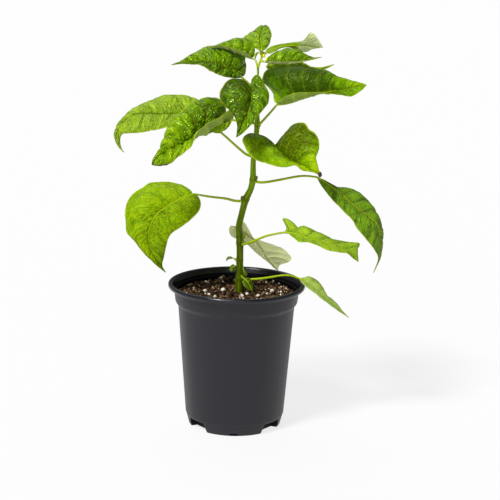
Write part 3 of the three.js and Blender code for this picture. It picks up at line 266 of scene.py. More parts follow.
SMALL_LEAVES = {
    "foot_leaf_front": {
        "stalk": [(2.4, 5, 133), (4.2, 1.5, 133), (6.5, -1, 131)],
        "rib": [(6.5, -1, 131), (9, -2.5, 129), (11.5, -4, 125.5), (13.5, -5.5, 121.5)],
        "face": (-0.4, -0.7, 0.6),
        "left": [(10, 0.5, 132), (12.5, -0.5, 129.5), (14, -2.5, 126), (14, -4.5, 123.5)],
        "right": [(5, -3, 130), (6, -5, 127.5), (8.5, -6.5, 124.5), (11, -6.5, 122.5)],
        "camber": {"left": [0.15], "right": [0.15]},
    },
    "foot_leaf_right": {
        "stalk": [(2.4, 5, 141.5), (4.6, 3.6, 141), (6, 3, 137.5)],
        "rib": [(6, 3, 137), (7.5, 2.5, 135), (8, 2, 132.5)],
        "face": (0.2, -0.5, 1),
        "left": [(7.5, 4.5, 137), (9, 4, 135), (9, 3, 133.5)],
        "right": [(5.5, 1.5, 136), (6, 1, 134.5), (7, 1, 133)],
        "camber": {"left": [0.15], "right": [0.15]},
    },
    "sprout_upper": {
        "stalk": [(-1, 3.8, 146.5), (-2.4, 3.3, 148), (-4.2, 2.8, 149)],
        "rib": [(-4.2, 2.8, 149), (-6.4, 2.6, 149.6), (-8.4, 2.2, 148.4), (-9.2, 1.8, 146)],
        "face": (-0.5, -0.2, 0.8),
        "left": [(-5, 0.8, 148.4), (-7, 0.2, 148.6), (-8.6, 0.6, 147.2)],
        "right": [(-5.2, 4.8, 149.4), (-7.6, 4.6, 149.4), (-9.4, 3.6, 147.6)],
        "camber": {"left": [0.15], "right": [0.15]},
    },
    "sprout_lower": {
        "stalk": [(2.3, 5, 143), (-0.8, 3.4, 142), (-1.8, 2.6, 141.8)],
        "rib": [(-1.8, 2.6, 141.8), (-3.4, 1.4, 141.2), (-5, 0.2, 140.2), (-6.4, -0.8, 138.6)],
        "face": (-0.3, -0.6, 0.7),
        "left": [(-1.2, 1, 139.8), (-2.8, -0.8, 138.6), (-5, -1.6, 138)],
        "right": [(-2.8, 4, 142.8), (-5, 2.8, 142.2), (-6.4, 1, 140.6)],
        "camber": {"left": [0.15], "right": [0.15]},
    },
}

# ---------- Leaves: surface ----------
# left and right: the tone along each half, where 0 is the deepest green and 1 the lightest. veins: side
# veins on both halves together. quilt: how far the blade swells between them. blister: the height of the
# small bulges. yellow: how far it has yellowed. under: 0 is a green underside and 1 the palest. satin:
# what is added to the roughness of the upper face. wan: how pale the whole upper face is. pale_from: the
# share along the rib from which the upper face is pale. scorch: the share where the brown tip begins.
# singe: a half whose edge is brown, and the share where that begins. knob: radius of a dry knob at the
# tip.
LOOKS = {
    "leaf_lower_left": {
        "left": [0.62, 0.6, 0.56, 0.54], "right": [0.72, 0.68, 0.66, 0.64], "veins": 11, "quilt": 0.5,
        "blister": 0.5, "yellow": 0.5, "under": 0.3, "satin": 0.16},
    "leaf_lower_right": {
        "left": [0.8, 0.8, 0.8], "right": [0.7, 0.7, 0.7], "veins": 10, "quilt": 0.3, "blister": 0.15,
        "yellow": 0.4, "under": 0.4, "satin": 0.2, "wan": 0.25},
    "leaf_pale_back": {
        "left": [1.0], "right": [0.8], "veins": 9, "quilt": 0.5, "blister": 0.3, "yellow": 0.3,
        "under": 1.0},
    "leaf_curled_right": {
        "left": [0.8, 0.8, 0.8], "right": [0.8, 0.85, 0.8], "veins": 12, "quilt": 0.8, "blister": 0.25,
        "yellow": 0.4, "under": 0.6, "satin": 0.14, "wan": 0.05},
    "leaf_drooping_right": {
        "left": [0.4, 0.45, 0.45], "right": [0.5, 0.45, 0.4], "veins": 16, "quilt": 0.6,
        "blister": 0.4, "yellow": 0.1, "under": 0.3, "satin": 0.1, "wan": 0.03},
    "leaf_right_heart": {
        "left": [-0.1, -0.5, 0.45, 1.8], "right": [0.45, 0.4, 0.8, 1.3], "veins": 12, "quilt": 0.4,
        "blister": 0.35, "yellow": 0.28, "under": 0.3, "satin": 0.04, "scorch": 0.97, "knob": 2.0},
    "leaf_left_front": {
        "left": [0.7, 0.7, 0.7], "right": [0.15, 0.25, 0.75, 0.7], "veins": 14, "quilt": 1.2,
        "blister": 1.3, "yellow": 0.15, "under": 0.1, "satin": -0.09, "scorch": 0.965,
        "singe": ("left", 0.82)},
    "leaf_left_back": {
        "left": [0.62, 0.64, 0.64], "right": [0.64, 0.64, 0.64], "veins": 14, "quilt": 0.9,
        "blister": 0.55, "yellow": 0.55, "under": 0.4, "satin": 0.1, "wan": 0.04, "scorch": 0.985},
    "leaf_centre_front": {
        "left": [0.25, 0.35, 0.6], "right": [0.05, 0.1, 0.45], "veins": 11, "quilt": 0.7,
        "blister": 0.8, "yellow": 0.1, "under": 0.4, "satin": -0.06},
    "leaf_upper_left": {
        "left": [0.25, 0.25, 0.5], "right": [0.25, 0.5, 0.8], "veins": 13, "quilt": 1.2,
        "blister": 0.9, "yellow": 0.1, "under": 0.3, "satin": -0.08},
    "leaf_top_left": {
        "left": [0.5, 0.6], "right": [0.5, 0.6], "veins": 10, "quilt": 0.8, "blister": 0.5,
        "yellow": 0.2, "under": 0.2},
    "leaf_top": {
        "left": [0.65, 0.75], "right": [0.6, 0.7], "veins": 10, "quilt": 0.9, "blister": 0.7,
        "yellow": 0.2, "under": 0.4, "satin": -0.03},
    "leaf_top_right_folded": {
        "left": [0.7, 0.7], "right": [0.7, 0.7], "veins": 10, "quilt": 0.4, "blister": 0.3,
        "yellow": 0.35, "under": 0.5, "satin": 0.1, "pale_from": 0.52},
    "leaf_top_right_middle": {
        "left": [0.45, 0.6], "right": [0.4, 0.6], "veins": 12, "quilt": 0.9, "blister": 0.7,
        "yellow": 0.15, "under": 0.4, "satin": -0.08},
    # Its tones lie near the lightest partly as painted light, which lifts the shade it lies in under the
    # leaves above.
    "leaf_top_right_lower": {
        "left": [0.8, 1.0], "right": [0.8, 1.0], "veins": 12, "quilt": 0.6, "blister": 0.4,
        "yellow": 0.5, "under": 0.55, "satin": 0.15},
    "leaf_right_big": {
        "left": [1.1, 0.2, -0.35, 0.6, 1.4], "right": [0.2, 0.1, 0.4, 1.0], "veins": 15, "quilt": 0.35,
        "blister": 0.35, "yellow": 0.06, "under": 0.05, "satin": 0.06},
}
SMALL_LOOK = {"veins": 7, "quilt": 0.12, "blister": 0.06, "left": [0.3], "right": [0.35], "yellow": 0.1,
              "under": 0.6}
TIP_LOOK = dict(SMALL_LOOK, left=[1.0], right=[1.0], yellow=0.9, under=0.0)
GLOSS = {"glossy": 0.4, "dull": 0.15}  # specular level of the upper face
DULL_LEAVES = ("leaf_lower_left", "leaf_lower_right", "leaf_curled_right", "leaf_drooping_right",
               "leaf_right_heart", "leaf_right_big")
TOP_LEAVES = ("leaf_top_left", "leaf_top", "leaf_top_right_folded", "leaf_top_right_middle")
LEAF_SEED, SMALL_LEAF_SEED, TIP_LEAF_SEED = 11, 51, 71
SMALL_SCALE, TIP_SCALE = 0.35, 0.2  # scale of the surface detail on the smaller leaves
LEAF_SHARP = 55  # degrees from which an edge is sharp
STALK_R = (1.15, 0.85)  # stalk radius at the stem and at the blade
TOP_STALK_R = (0.7, 0.6)
SMALL_STALK_R = (0.7, 0.5)
STALK_SIDES = 12
STALK_STEP = 1.6
JOINT_SWELL = 0.45  # how much thicker a stalk is where it leaves the stem
JOINT_REACH = 2.6
JOINT_START = 1.4
RIB_SHARE = 0.93  # share of the blade that the thick rib runs under
RIB_DROP = 0.35  # how far it lies below the middle of the blade
RIB_TIP_R = 0.18
RIB_STEP = 1.2
RIB_HALF = 0.8  # half-width of the rib's groove in the upper face
VEINS_FROM, VEINS_SPAN = 0.025, 0.87  # the part of the rib that side veins leave
VEIN_JITTER = 0.3
VEIN_HALF = 0.5
VEIN_SWAY = 0.9  # how far a side vein wanders off its line
SWAY_SIZE = 9.0
VEIN_SLANT = 0.85  # turns a distance along the rib into one across a side vein
FORWARD = 0.75  # side veins lean toward the tip by this share of the half-width
MOST_FORWARD = 0.26
ROW_STEP, LEAST_STEP = 1.5, 0.25  # the longest and the shortest step between two rows of points
VEIN_ROWS = (-1.4, -0.6, 0.0, 0.6, 1.4)  # rows on and beside each side vein
ACROSS = np.concatenate([[0, 0.018, 0.045, 0.085], np.linspace(0.13, 0.93, 18), [0.965, 0.988, 1.0]])
FULL_WIDTH = 10  # a half narrower than this swells and waves less
CALM_WIDTH = 6  # a half narrower than this has lower bulges
BLISTER_SIZES = (5.4, 2.9)
BLISTER_STRETCH = (1.3, 0.6, 1)
FOLD_SCALE = (0.24, 0.11)  # fine folds of the upper face, for each mm along and across
WAVE_SIZES = (7.0, 3.2)  # waves along the edge
WAVE_APART = 31  # keeps the waves of the two halves different
EDGE_FROM = 0.945  # where across a half its painted light rim begins
THIN_EDGE = 0.6  # how much thinner the blade is at its edge
NEVER = 2  # a share past the tip
SCORCH_BLEND, SINGE_BLEND, PALE_BLEND = 0.02, 0.08, 0.1  # shares over which these set in
KNOB_FORM = (0.85, 0.85, 1.1)

# ---------- Stem ----------
STEM = [
    (2, 5, 94, 2.0), (2, 5, 108, 2.8), (2.1, 5, 117, 3.5), (2.2, 5, 123, 3.7), (2.3, 5, 130, 3.6),
    (2.4, 5, 136, 3.3), (2.4, 5, 145, 3.05), (2.3, 5, 156, 2.95), (2.1, 5, 162, 3.3),
    (1.7, 5, 168, 3.0), (1.1, 4.5, 177, 2.8), (3.1, 4, 187, 2.75), (4.7, 3.6, 194, 2.8),
    (6.4, 3, 201, 3.2), (8.6, 2.6, 206, 2.7), (10.7, 2.2, 211, 2.5), (12.3, 2, 219, 2.85),
    (12.4, 1.5, 227, 2.4), (12.5, 1.2, 235, 2.25), (13.4, 0.6, 244, 2.25), (14.1, 0.2, 253, 2.3),
    (14.8, 0, 262, 2.25), (15.1, 0, 268, 2.4), (15, 0, 275, 1.9), (15, 0, 284, 1.7),
    (15, 0, 293, 1.7), (15, 0, 301, 1.25), (15, 0, 309, 0.9), (14.8, 0, 316, 0.95),
]
FORK_BRANCHES = [
    [(14.8, 0, 314.5, 0.9), (14.0, 0.6, 318.5, 0.85), (12.8, 2.2, 321.6, 0.75)],
    [(14.8, 0, 314.5, 0.9), (16.0, 0.6, 319.5, 0.9), (17.4, 1.2, 323, 0.95), (18, 1.8, 325.6, 0.8)],
]
STEM_SIDES = 40
STEM_STEP = 0.7
STEM_EVEN = 9  # steps to each side over which the radius is evened out
STEM_RIBS = 5
RIB_HEIGHT = 0.055
STEM_TWIST = 0.9  # turns of the ribs over the whole stem
OLD_BELOW, FRESH_ABOVE = 150, 290  # heights between which the stem lightens
FORK_SIDES = 14
NODE_HEIGHTS = [  # joints of the stem: (height, how much thicker it is there)
    (130, 0.10), (147, 0.05), (162.5, 0.08), (168, 0.05), (201.5, 0.10), (218.8, 0.10), (239.5, 0.08),
    (252.5, 0.06), (266, 0.10), (291.5, 0.08), (302, 0.08),
]
NODE_REACH = 1.6
NODE_LINE = 0.6  # half-height of the dark line round a joint
# Buds: (x, y, z, radius across, half-length, lean of the tip toward x and y, brown).
BUDS = [
    (15.1, 0.0, 220.6, 1.5, 2.2, 0.5, -0.2, 1.0), (3.8, 0.0, 202.8, 1.9, 2.2, -0.3, -0.3, 1.0),
    (5.4, 3.0, 168.4, 1.3, 2.3, 0.4, -0.3, 0.1), (4.9, 3.2, 163.2, 1.3, 1.6, 0.5, -0.3, 0.2),
    (-0.1, 4.2, 146.5, 1.4, 2.3, -0.4, -0.2, 0.3), (17.2, -0.7, 266.8, 1.1, 1.6, 0.4, -0.2, 0.6),
    (5.0, 2.4, 131.0, 1.5, 1.7, 0.3, -0.3, 0.6), (12.4, -0.6, 240.0, 1.1, 1.5, -0.3, -0.3, 0.4),
    (-1.2, 5.4, 128, 1.2, 1.8, -0.4, 0.1, 0.5), (1.9, 1.7, 162.8, 1.6, 1.6, -0.1, -0.5, 1.0),
    (14.9, -0.5, 315.6, 0.6, 0.8, 0.0, -0.2, 1.0),
]
BUD_SCALES = 4
BUD_RINGS, BUD_SIDES = 10, 14
BUD_SHIFT = 0.24  # how far the scales stand off the core, as a share of the radius
BUD_TURN = 2.4  # turn from one scale to the next, in radians
# The growing tip's small leaves: base, reach of the tip from it, half-width.
TIP_LEAVES = [
    ((18.4, 1.2, 325.0), (3.0, -1.6, 4.6), 1.7), ((17.6, 0.6, 325.0), (-2.0, -1.4, 4.6), 1.6),
    ((18.0, 1.8, 325.2), (0.6, 2.6, 4.4), 1.5), ((17.4, 1.4, 325.0), (-2.6, 1.8, 2.6), 1.3),
    ((18.7, 1.6, 325.0), (4.2, 1.0, 2.2), 1.3), ((18.0, 0.8, 324.6), (-2.6, -1.6, 6.2), 1.3),
    ((12.4, 1.2, 322.2), (2.6, -1.0, 7.4), 0.9), ((12.2, 2.6, 323.0), (3.4, 3.4, 5.6), 1.8),
]
# The growing tip's flower buds: x, y, z, radius across, half-length.
TIP_BUDS = [(19.6, -0.9, 326.2, 1.3, 1.7), (22.4, -0.9, 323.4, 0.85, 1.9), (18.2, -0.6, 321.8, 0.9, 1.3)]
TIP_BUD_LEAN = (0.2, -0.1)
TIP_BUD_SEED = 20
TIP_BEND = 0.8  # how far a tip leaf arches up

# ---------- Pot ----------
POT_SIDES = 192
POT_FLOOR_TOP = 1.4
POT_RING_TOP = 10.6
POT_PROFILE = [  # (radius, height, size of the rounding at that corner)
    (0, POT_FLOOR_TOP, 0), (0, 0, 0), (40.0, 0, 0.3), (40.6, 0.6, 0.3),
    (43.0, 9.6, 0.4), (43.5, 10.7, 0.8), (51.0, 108.1, 0.8),
    (53.5, 111.4, 1.2), (54.6, 121.0, 0.6), (55.2, 123.4, 0.4), (56.2, 124.3, 0.3), (57.0, 123.6, 0.3),
    (58.9, 123.4, 1.0), (60.0, 124.6, 1.0), (60.0, 126.6, 1.0), (58.9, 127.8, 1.0), (57.0, 127.8, 0.9),
    (55.8, 126.6, 0.9), (54.4, 123.0, 0.5), (53.6, 121.2, 0.3), (52.4, 120.6, 0.3), (52.1, 112.2, 0.8),
    (49.7, 108.4, 0.6), (42.4, 11.6, 0.5), (41.6, POT_RING_TOP, 0.3), (32.6, POT_RING_TOP, 0.4),
    (31.6, POT_FLOOR_TOP, 0.4), (0, POT_FLOOR_TOP, 0),
]
CORNER_STEPS = 4
CORNER_SHARE = 0.45  # the most of a side that the rounding of one corner may take
INNER_STEPS = 12  # the inner wall, in dull plastic painted darker as shade, starts this many rings past the top
UNDER_STEPS = 3  # rings of the underside, in the same plastic painted darker as shade
POLISH_FROM, POLISH_TO = 121.5, 124  # heights between which the wall turns into the smoother rim
SOFT_EDGE = 0.25  # bevel along the edges cut into the foot
SOFT_ANGLE = 50  # degrees from which an edge is softened
POT_SHARP = 40  # degrees from which an edge is sharp
NOTCH_ANGLES = (52, 128, 232, 308)  # drain notches, degrees from the front
NOTCH_FOOT_HALF, NOTCH_TOP_HALF = 17, 13  # half-widths of a notch, in degrees
NOTCH_TOP = 8.8
NOTCH_RADII = (34.8, 60)
DRAIN_ANGLES = (40, 64, 116, 140, 220, 244, 296, 320)
DRAIN_R = 36.6
DRAIN_SIZE = (3.2, 6.4, 4)  # outward, along the ring and in height
DRAIN_DROP = 0.7  # how far the middle of a drain hole lies below the ring's top
SLOT_R = 40.5
SLOT_SIZE = (7, 6, 1.9)  # slots at the foot's front and back, in x, y and height
SLOT_LIP = 0.3  # what is left below a slot
BOX_FACES = [(0, 1, 3, 2), (4, 6, 7, 5), (0, 4, 5, 1), (2, 3, 7, 6), (0, 2, 6, 4), (1, 5, 7, 3)]

# ---------- Potting mix ----------
SOIL_SEED = 2024
SOIL_TOP = 117.0
SOIL_SINK = 0.3  # how far the peat between the crumbs lies below it
SOIL_RISE = 1.2  # how much higher the back of the mix is than its middle
SOIL_FALL = 0.8  # how far its edge falls toward the wall
SOIL_EDGE = (47, 52)  # radii between which it falls
SOIL_SIDE = [(31.3, 1.7), (32.3, 10.9), (41.2, 10.9), (42.1, 12.2), (49.4, 108.7), (51.8, 112.6),
             (51.9, 115.0)]
SOIL_R = 51.9
SOIL_RINGS = 84
SOIL_SIDES = 240
SIDE_SHADE = 0.2
STEM_FOOT = (2.1, 5)  # where the stem leaves the mix
STEM_CLEAR = 4.3  # nothing is strewn nearer to it than this
CRUMBS = 1500
CRUMB_SIZES = (0.6, 3.0)
CRUMB_REACH = 50.6
GRAINS = [  # perlite: (x, y, radius)
    (-27.7, 29.5, 1.6), (-14.6, 45.1, 1.2), (-27.8, 4.8, 1.7), (-12, 6, 2.2), (-18.5, -15, 1.3),
    (-23.9, -8.6, 1.4), (-1.9, 38.8, 1.7), (9.2, -2.7, 1.5), (4.9, -13.3, 1.9), (18.8, -10.5, 1.7),
    (20.5, -18.8, 1.1), (31.1, 5.8, 1.9), (26.7, -1.4, 1.1), (21.5, 36.9, 1.6), (26, 33.7, 1.1),
    (33.2, 41.5, 1.2), (37.6, 32.8, 1.0), (39.2, 20.4, 1.2), (43.6, 15.5, 1.1), (39, 2.9, 1.3),
    (25, 12.3, 1.2), (-38, 14, 1.2), (-33, -24, 1.4), (8, -36, 1.3), (-6, -41, 1.5), (27, -32, 1.4),
]
SMALL_GRAINS = 190
SMALL_GRAIN_SIZES = (0.35, 0.95)
SMALL_GRAIN_REACH = 49.5
GRAIN_LIFT = 0.35
FIBRES = 90
FIBRE_SIZES = (0.16, 0.42)
FIBRE_LENGTHS = (4, 13)
FIBRE_REACH = 46  # how far out the middle of a fibre may lie, and then any part of it
FIBRE_LIMIT = 50.5
FIBRE_BEND = 0.9  # the most that it turns, in radians

# ---------- Stage ----------
CAMERA_AT = (11.054, -1356.047, 474.978)
CAMERA_PITCH = 13.2
CAMERA_ROLL = 1.1
CAMERA_LENS = 115.2
CAMERA_SENSOR = 36.0
CAMERA_END = 200.0  # metres
FLOOR_HALF = 60.0  # metres
KEY_LIGHT = (12, 38, -38)  # degrees: width of the sun, tilt from straight down, turn
FILL_LIGHT = (60, 60, -12)
BACK_LIGHT = (60, -35, 20)
WHITE = (1, 1, 1, 1)


def linear(red, green, blue):
    """Blender's linear colour for a swatch given in steps of 255."""
    out = []
    for step in (red, green, blue):
        c = step / 255
        out.append(c / 12.92 if c <= 0.04045 else ((c + 0.055) / 1.055) ** 2.4)
    return (*out, 1.0)


# ---------- Settings that a user would change ----------
def colour(name, description, red, green, blue):
    """A colour setting, given as a swatch in steps of 255."""
    return bpy.props.FloatVectorProperty(
        name=name, description=description, subtype="COLOR", size=4, min=0, max=1,
        default=linear(red, green, blue))


def length(name, description, millimetres):
    """A length setting, given in millimetres and kept in metres."""
    return bpy.props.FloatProperty(
        name=name, description=description, default=millimetres * MM, min=0, unit="LENGTH",
        subtype="DISTANCE", precision=5)


class ChilliLeafSettings(bpy.types.PropertyGroup):
    blade: length("Blade thickness", "Thickness of a leaf's blade", 0.4)
    groove: length("Vein depth", "How deep the veins lie in the upper face", 0.28)
    ridge: length("Vein ridge", "How far the veins stand out below", 0.3)
    ruffle: length("Edge ruffle", "Height of the fine waves along the edge", 0.55)
    deep: colour("Deep green", "Upper face of the darkest leaves", 30, 62, 0)
    mid: colour("Leaf green", "Upper face of most leaves", 88, 134, 0)
    light: colour("Light green", "Upper face of young leaves", 142, 178, 2)
    yellow: colour("Yellow-green", "Upper face where a leaf has yellowed", 176, 192, 8)
    vein: colour("Vein", "Rib and side veins of the upper face", 160, 184, 30)
    # The light rim is painted light: it lightens the blade's thin edge, which would otherwise fall grey
    # in shade.
    edge: colour("Edge", "The thin rim of the blade", 190, 208, 44)
    under: colour("Underside", "Under face of most leaves", 118, 148, 34)
    # Set near white, partly the underside's own pale colour and partly painted light that lifts the shade
    # this underside faces into.
    pale: colour("Pale underside", "Under face of the palest leaf", 246, 252, 196)
    stalk: colour("Stalk", "Leaf stalks", 158, 180, 14)
    pale_rib: colour("Pale rib", "Rib under the palest leaf", 206, 200, 120)
    scorch: colour("Dry tip", "Brown tips of some leaves", 70, 46, 38)
    shine: colour("Shine", "Tint of the leaves' shine", 225, 255, 130)


class ChilliStemSettings(bpy.types.PropertyGroup):
    fresh: colour("Fresh green", "Stem near the top", 130, 168, 8)
    old: colour("Old green", "Stem near the foot", 76, 96, 2)
    streak: colour("Streak", "Dark lengthwise streaks", 44, 64, 0)
    bud: colour("Bud", "Dry scales of the buds", 78, 58, 30)
    shine: colour("Shine", "Tint of the stem's shine", 225, 255, 130)
    tip: colour("Growing tip", "Young leaves at the tip", 214, 220, 24)


class ChilliPotSettings(bpy.types.PropertyGroup):
    plastic: colour("Plastic", "Moulded plastic of the pot", 21, 20, 29)
    # The inner wall is the pot's own plastic painted darker: painted shade.
    inner: colour("Inner wall", "Plastic inside the pot", 6, 6, 7)
    scuff: colour("Scuff", "Rubbed places on the wall", 33, 33, 43)
    roughness: bpy.props.FloatProperty(
        name="Roughness", description="Roughness of the pot's wall", default=0.46, min=0, max=1,
        subtype="FACTOR")


class ChilliSoilSettings(bpy.types.PropertyGroup):
    # Dark peat also paints the bed's low places between the crumbs, as painted shade.
    dark: colour("Dark peat", "Damp crumbs and gaps", 16, 10, 5)
    mid: colour("Peat", "Most crumbs", 76, 53, 33)
    light: colour("Dry peat", "Dry crumbs and bark", 176, 134, 90)
    grain: colour("Perlite", "White grains", 236, 228, 206)
    grain_shade: colour("Stained perlite", "Grains stained by the peat", 168, 146, 116)
    crumbs: bpy.props.IntProperty(
        name="Crumbs", description="Number of loose crumbs", default=CRUMBS, min=0, max=4000)


class ChilliStageSettings(bpy.types.PropertyGroup):
    floor: bpy.props.FloatVectorProperty(
        name="Floor", description="Colour of the floor", subtype="COLOR", size=4, min=0, max=1,
        default=(0.17, 0.17, 0.171, 1.0))
    glow: bpy.props.FloatProperty(
        name="Glow", description="Even light of the floor itself", default=0.78, min=0)
    sky: bpy.props.FloatProperty(
        name="Sky", description="Strength of the even light from all round", default=0.14, min=0)
    key: bpy.props.FloatProperty(
        name="Key light", description="Strength of the main soft light", default=2.9, min=0)
    back: bpy.props.FloatProperty(
        name="Back light", description="Strength of the soft light from behind", default=0.7, min=0)
    fill: bpy.props.FloatProperty(
        name="Fill light", description="Strength of the second soft light", default=0.8, min=0)


# ---------- Small tools ----------
def unit(v):
    """The vectors at length 1."""
    return v / np.maximum(np.linalg.norm(v, axis=-1, keepdims=True), 1e-9)


def station(values, share):
    """Value at a share of a list of evenly spaced values."""
    return np.interp(share, np.linspace(0, 1, len(values)), np.array(values, float))


def smooth(low, high, x):
    """A soft step from 0 at low to 1 at high."""
    t = np.clip((np.asarray(x, float) - low) / (high - low), 0, 1)
    return t * t * (3 - 2 * t)


def lattice(cell, step, seed):
    """A seeded number from -1 to 1 for the corner of each cell that lies this step on."""
    n = (cell[..., 0] + step[0]) * 73856093 ^ (cell[..., 1] + step[1]) * 19349663 \
        ^ (cell[..., 2] + step[2]) * 83492791 ^ (seed * 7919 + 104729)
    n = (n ^ (n >> 13)) * 1274126177
    n = n ^ (n >> 16)
    return (n & 0xFFFFF) / 0xFFFFF * 2 - 1


def lumps(points, size, seed):
    """Smooth seeded unevenness from -1 to 1, with lumps of about this size."""
    p = np.asarray(points, float) / size
    cell = np.floor(p).astype(np.int64)
    f = p - cell
    f = f * f * f * (f * (f * 6 - 15) + 10)
    total = np.zeros(p.shape[:-1])
    for i in range(8):
        step = (i & 1, i >> 1 & 1, i >> 2 & 1)
        weight = 1
        for axis in range(3):
            weight = weight * (f[..., axis] if step[axis] else 1 - f[..., axis])
        total += weight * lattice(cell, step, seed)
    return total


def path_run(points):
    """Distance travelled at each of the points."""
    return np.concatenate([[0], np.cumsum(np.linalg.norm(np.diff(points, axis=0), axis=1))])


class Curve:
    """A smooth curve through the listed points, with a frame carried along it."""
    SAMPLES = 401

    def __init__(self, points, face, count=200):
        p = np.array([q[:3] for q in points], float)
        p = np.vstack([2 * p[0] - p[1], p, 2 * p[-1] - p[-2]])
        spans = len(p) - 3
        t = np.linspace(0, spans, self.SAMPLES)
        i = np.minimum(t.astype(int), spans - 1)
        f = (t - i)[:, None]
        a, b, c, d = p[i], p[i + 1], p[i + 2], p[i + 3]
        raw = 0.5 * (2 * b + (c - a) * f + (2 * a - 5 * b + 4 * c - d) * f ** 2
                     + (3 * b - a - 3 * c + d) * f ** 3)
        run = path_run(raw)
        self.length = run[-1]
        self.share = np.linspace(0, 1, count + 1)
        self.at = np.stack([np.interp(self.share * run[-1], run, raw[:, k]) for k in range(3)], 1)
        ahead = self.at[np.minimum(np.arange(count + 1) + 1, count)]
        behind = self.at[np.maximum(np.arange(count + 1) - 1, 0)]
        self.tangent = unit(ahead - behind)
        side = unit(np.cross(self.tangent[0], np.array(face, float)))
        sides = []
        for t in self.tangent:
            side = unit(side - t * np.dot(side, t))
            sides.append(side)
        self.side = np.array(sides)
        self.up = np.cross(self.side, self.tangent)

    def pick(self, table, share):
        """The points or directions of a table at these shares of the length."""
        s = np.clip(share, 0, 1)
        return np.stack([np.interp(s, self.share, table[:, k]) for k in range(3)], -1)


class Shape:
    """Points, faces and point values of one piece while it is made."""

    def __init__(self):
        self.points = []
        self.faces = []
        self.slots = []
        self.values = {}
        self.count = 0

    def add(self, points, faces, slots=0, **values):
        """Adds points and faces. A value is one number, or a number or vector for each point."""
        points = np.asarray(points, float).reshape(-1, 3)
        n = len(points)
        for name in {**self.values, **values}:
            if name not in self.values:
                like = np.atleast_1d(np.asarray(values[name], float))
                width = 3 if like.ndim == 2 else 1
                self.values[name] = [np.zeros((self.count, width))]
            width = self.values[name][0].shape[1]
            given = np.asarray(values.get(name, 0.0), float)
            if width == 3:
                given = given.reshape(-1, 3) if given.size > 1 else np.zeros((n, 3))
            else:
                given = np.broadcast_to(given.ravel() if given.size > 1 else given, (n,)).reshape(n, 1)
            self.values[name].append(given)
        self.points.append(points)
        self.faces.extend(tuple(int(k) + self.count for k in face) for face in faces)
        self.slots.extend([slots] * len(faces) if isinstance(slots, int) else slots)
        self.count += n

    def piece(self, name, materials, sharp=None):
        """Links the finished piece into the scene. sharp: degrees from which an edge is sharp."""
        mesh = bpy.data.meshes.new(name)
        mesh.from_pydata((np.vstack(self.points) * MM).tolist(), [], self.faces)
        for material in materials:
            mesh.materials.append(material)
        mesh.polygons.foreach_set("material_index", self.slots)
        mesh.polygons.foreach_set("use_smooth", [True] * len(self.faces))
        for key, parts in self.values.items():
            data = np.vstack(parts)
            if data.shape[1] == 3:
                layer = mesh.attributes.new(key, "FLOAT_VECTOR", "POINT")
                layer.data.foreach_set("vector", data.ravel())
            else:
                layer = mesh.attributes.new(key, "FLOAT", "POINT")
                layer.data.foreach_set("value", data.ravel())
        mesh.update()
        if sharp:
            mesh.set_sharp_from_angle(angle=math.radians(sharp))
        piece = bpy.data.objects.new(name, mesh)
        bpy.context.scene.collection.objects.link(piece)
        return piece


def settle(piece, node):
    """Ties a piece to its body and hides the imported part of the node that it stands for."""
    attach(piece, BODY)
    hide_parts(node)


def ring_faces(rows, sides):
    """Faces between closed rings of points."""
    faces = []
    for i in range(rows - 1):
        for j in range(sides):
            a, b = i * sides + j, i * sides + (j + 1) % sides
            faces.append((a, b, b + sides, a + sides))
    return faces


def tube(shape, curve, shares, radii, sides, slot=0, bumps=None, **values):
    """A closed tube along a curve. bumps(angle, share) scales its radius."""
    shares = np.asarray(shares, float)
    at = curve.pick(curve.at, shares)
    side = unit(curve.pick(curve.side, shares))
    up = np.cross(side, unit(curve.pick(curve.tangent, shares)))
    angle = np.arange(sides) * 2 * math.pi / sides
    r = np.repeat(np.asarray(radii, float)[:, None], sides, 1)
    if bumps is not None:
        r = r * bumps(angle[None, :], shares[:, None])
    ring = at[:, None] + r[..., None] * (np.cos(angle)[None, :, None] * side[:, None]
                                         + np.sin(angle)[None, :, None] * up[:, None])
    n = len(shares)
    points = np.vstack([ring.reshape(-1, 3), at[0], at[-1]])
    faces = [face[::-1] for face in ring_faces(n, sides)]
    faces += [(n * sides, j, (j + 1) % sides) for j in range(sides)]
    last = (n - 1) * sides
    faces += [(n * sides + 1, last + (j + 1) % sides, last + j) for j in range(sides)]
    run = np.repeat(shares * curve.length, sides)
    turn = np.tile(angle, n) * np.mean(radii)
    flat = np.stack([run, turn, np.full(n * sides, at[0, 0])], 1)
    flat = np.vstack([flat, flat[0], flat[-1]])
    full = {}
    for key, value in values.items():
        value = np.asarray(value, float)
        full[key] = value if value.ndim == 0 else \
            np.concatenate([np.repeat(value, sides), value[:1], value[-1:]])
    shape.add(points, faces, slot, flat=flat, **full)


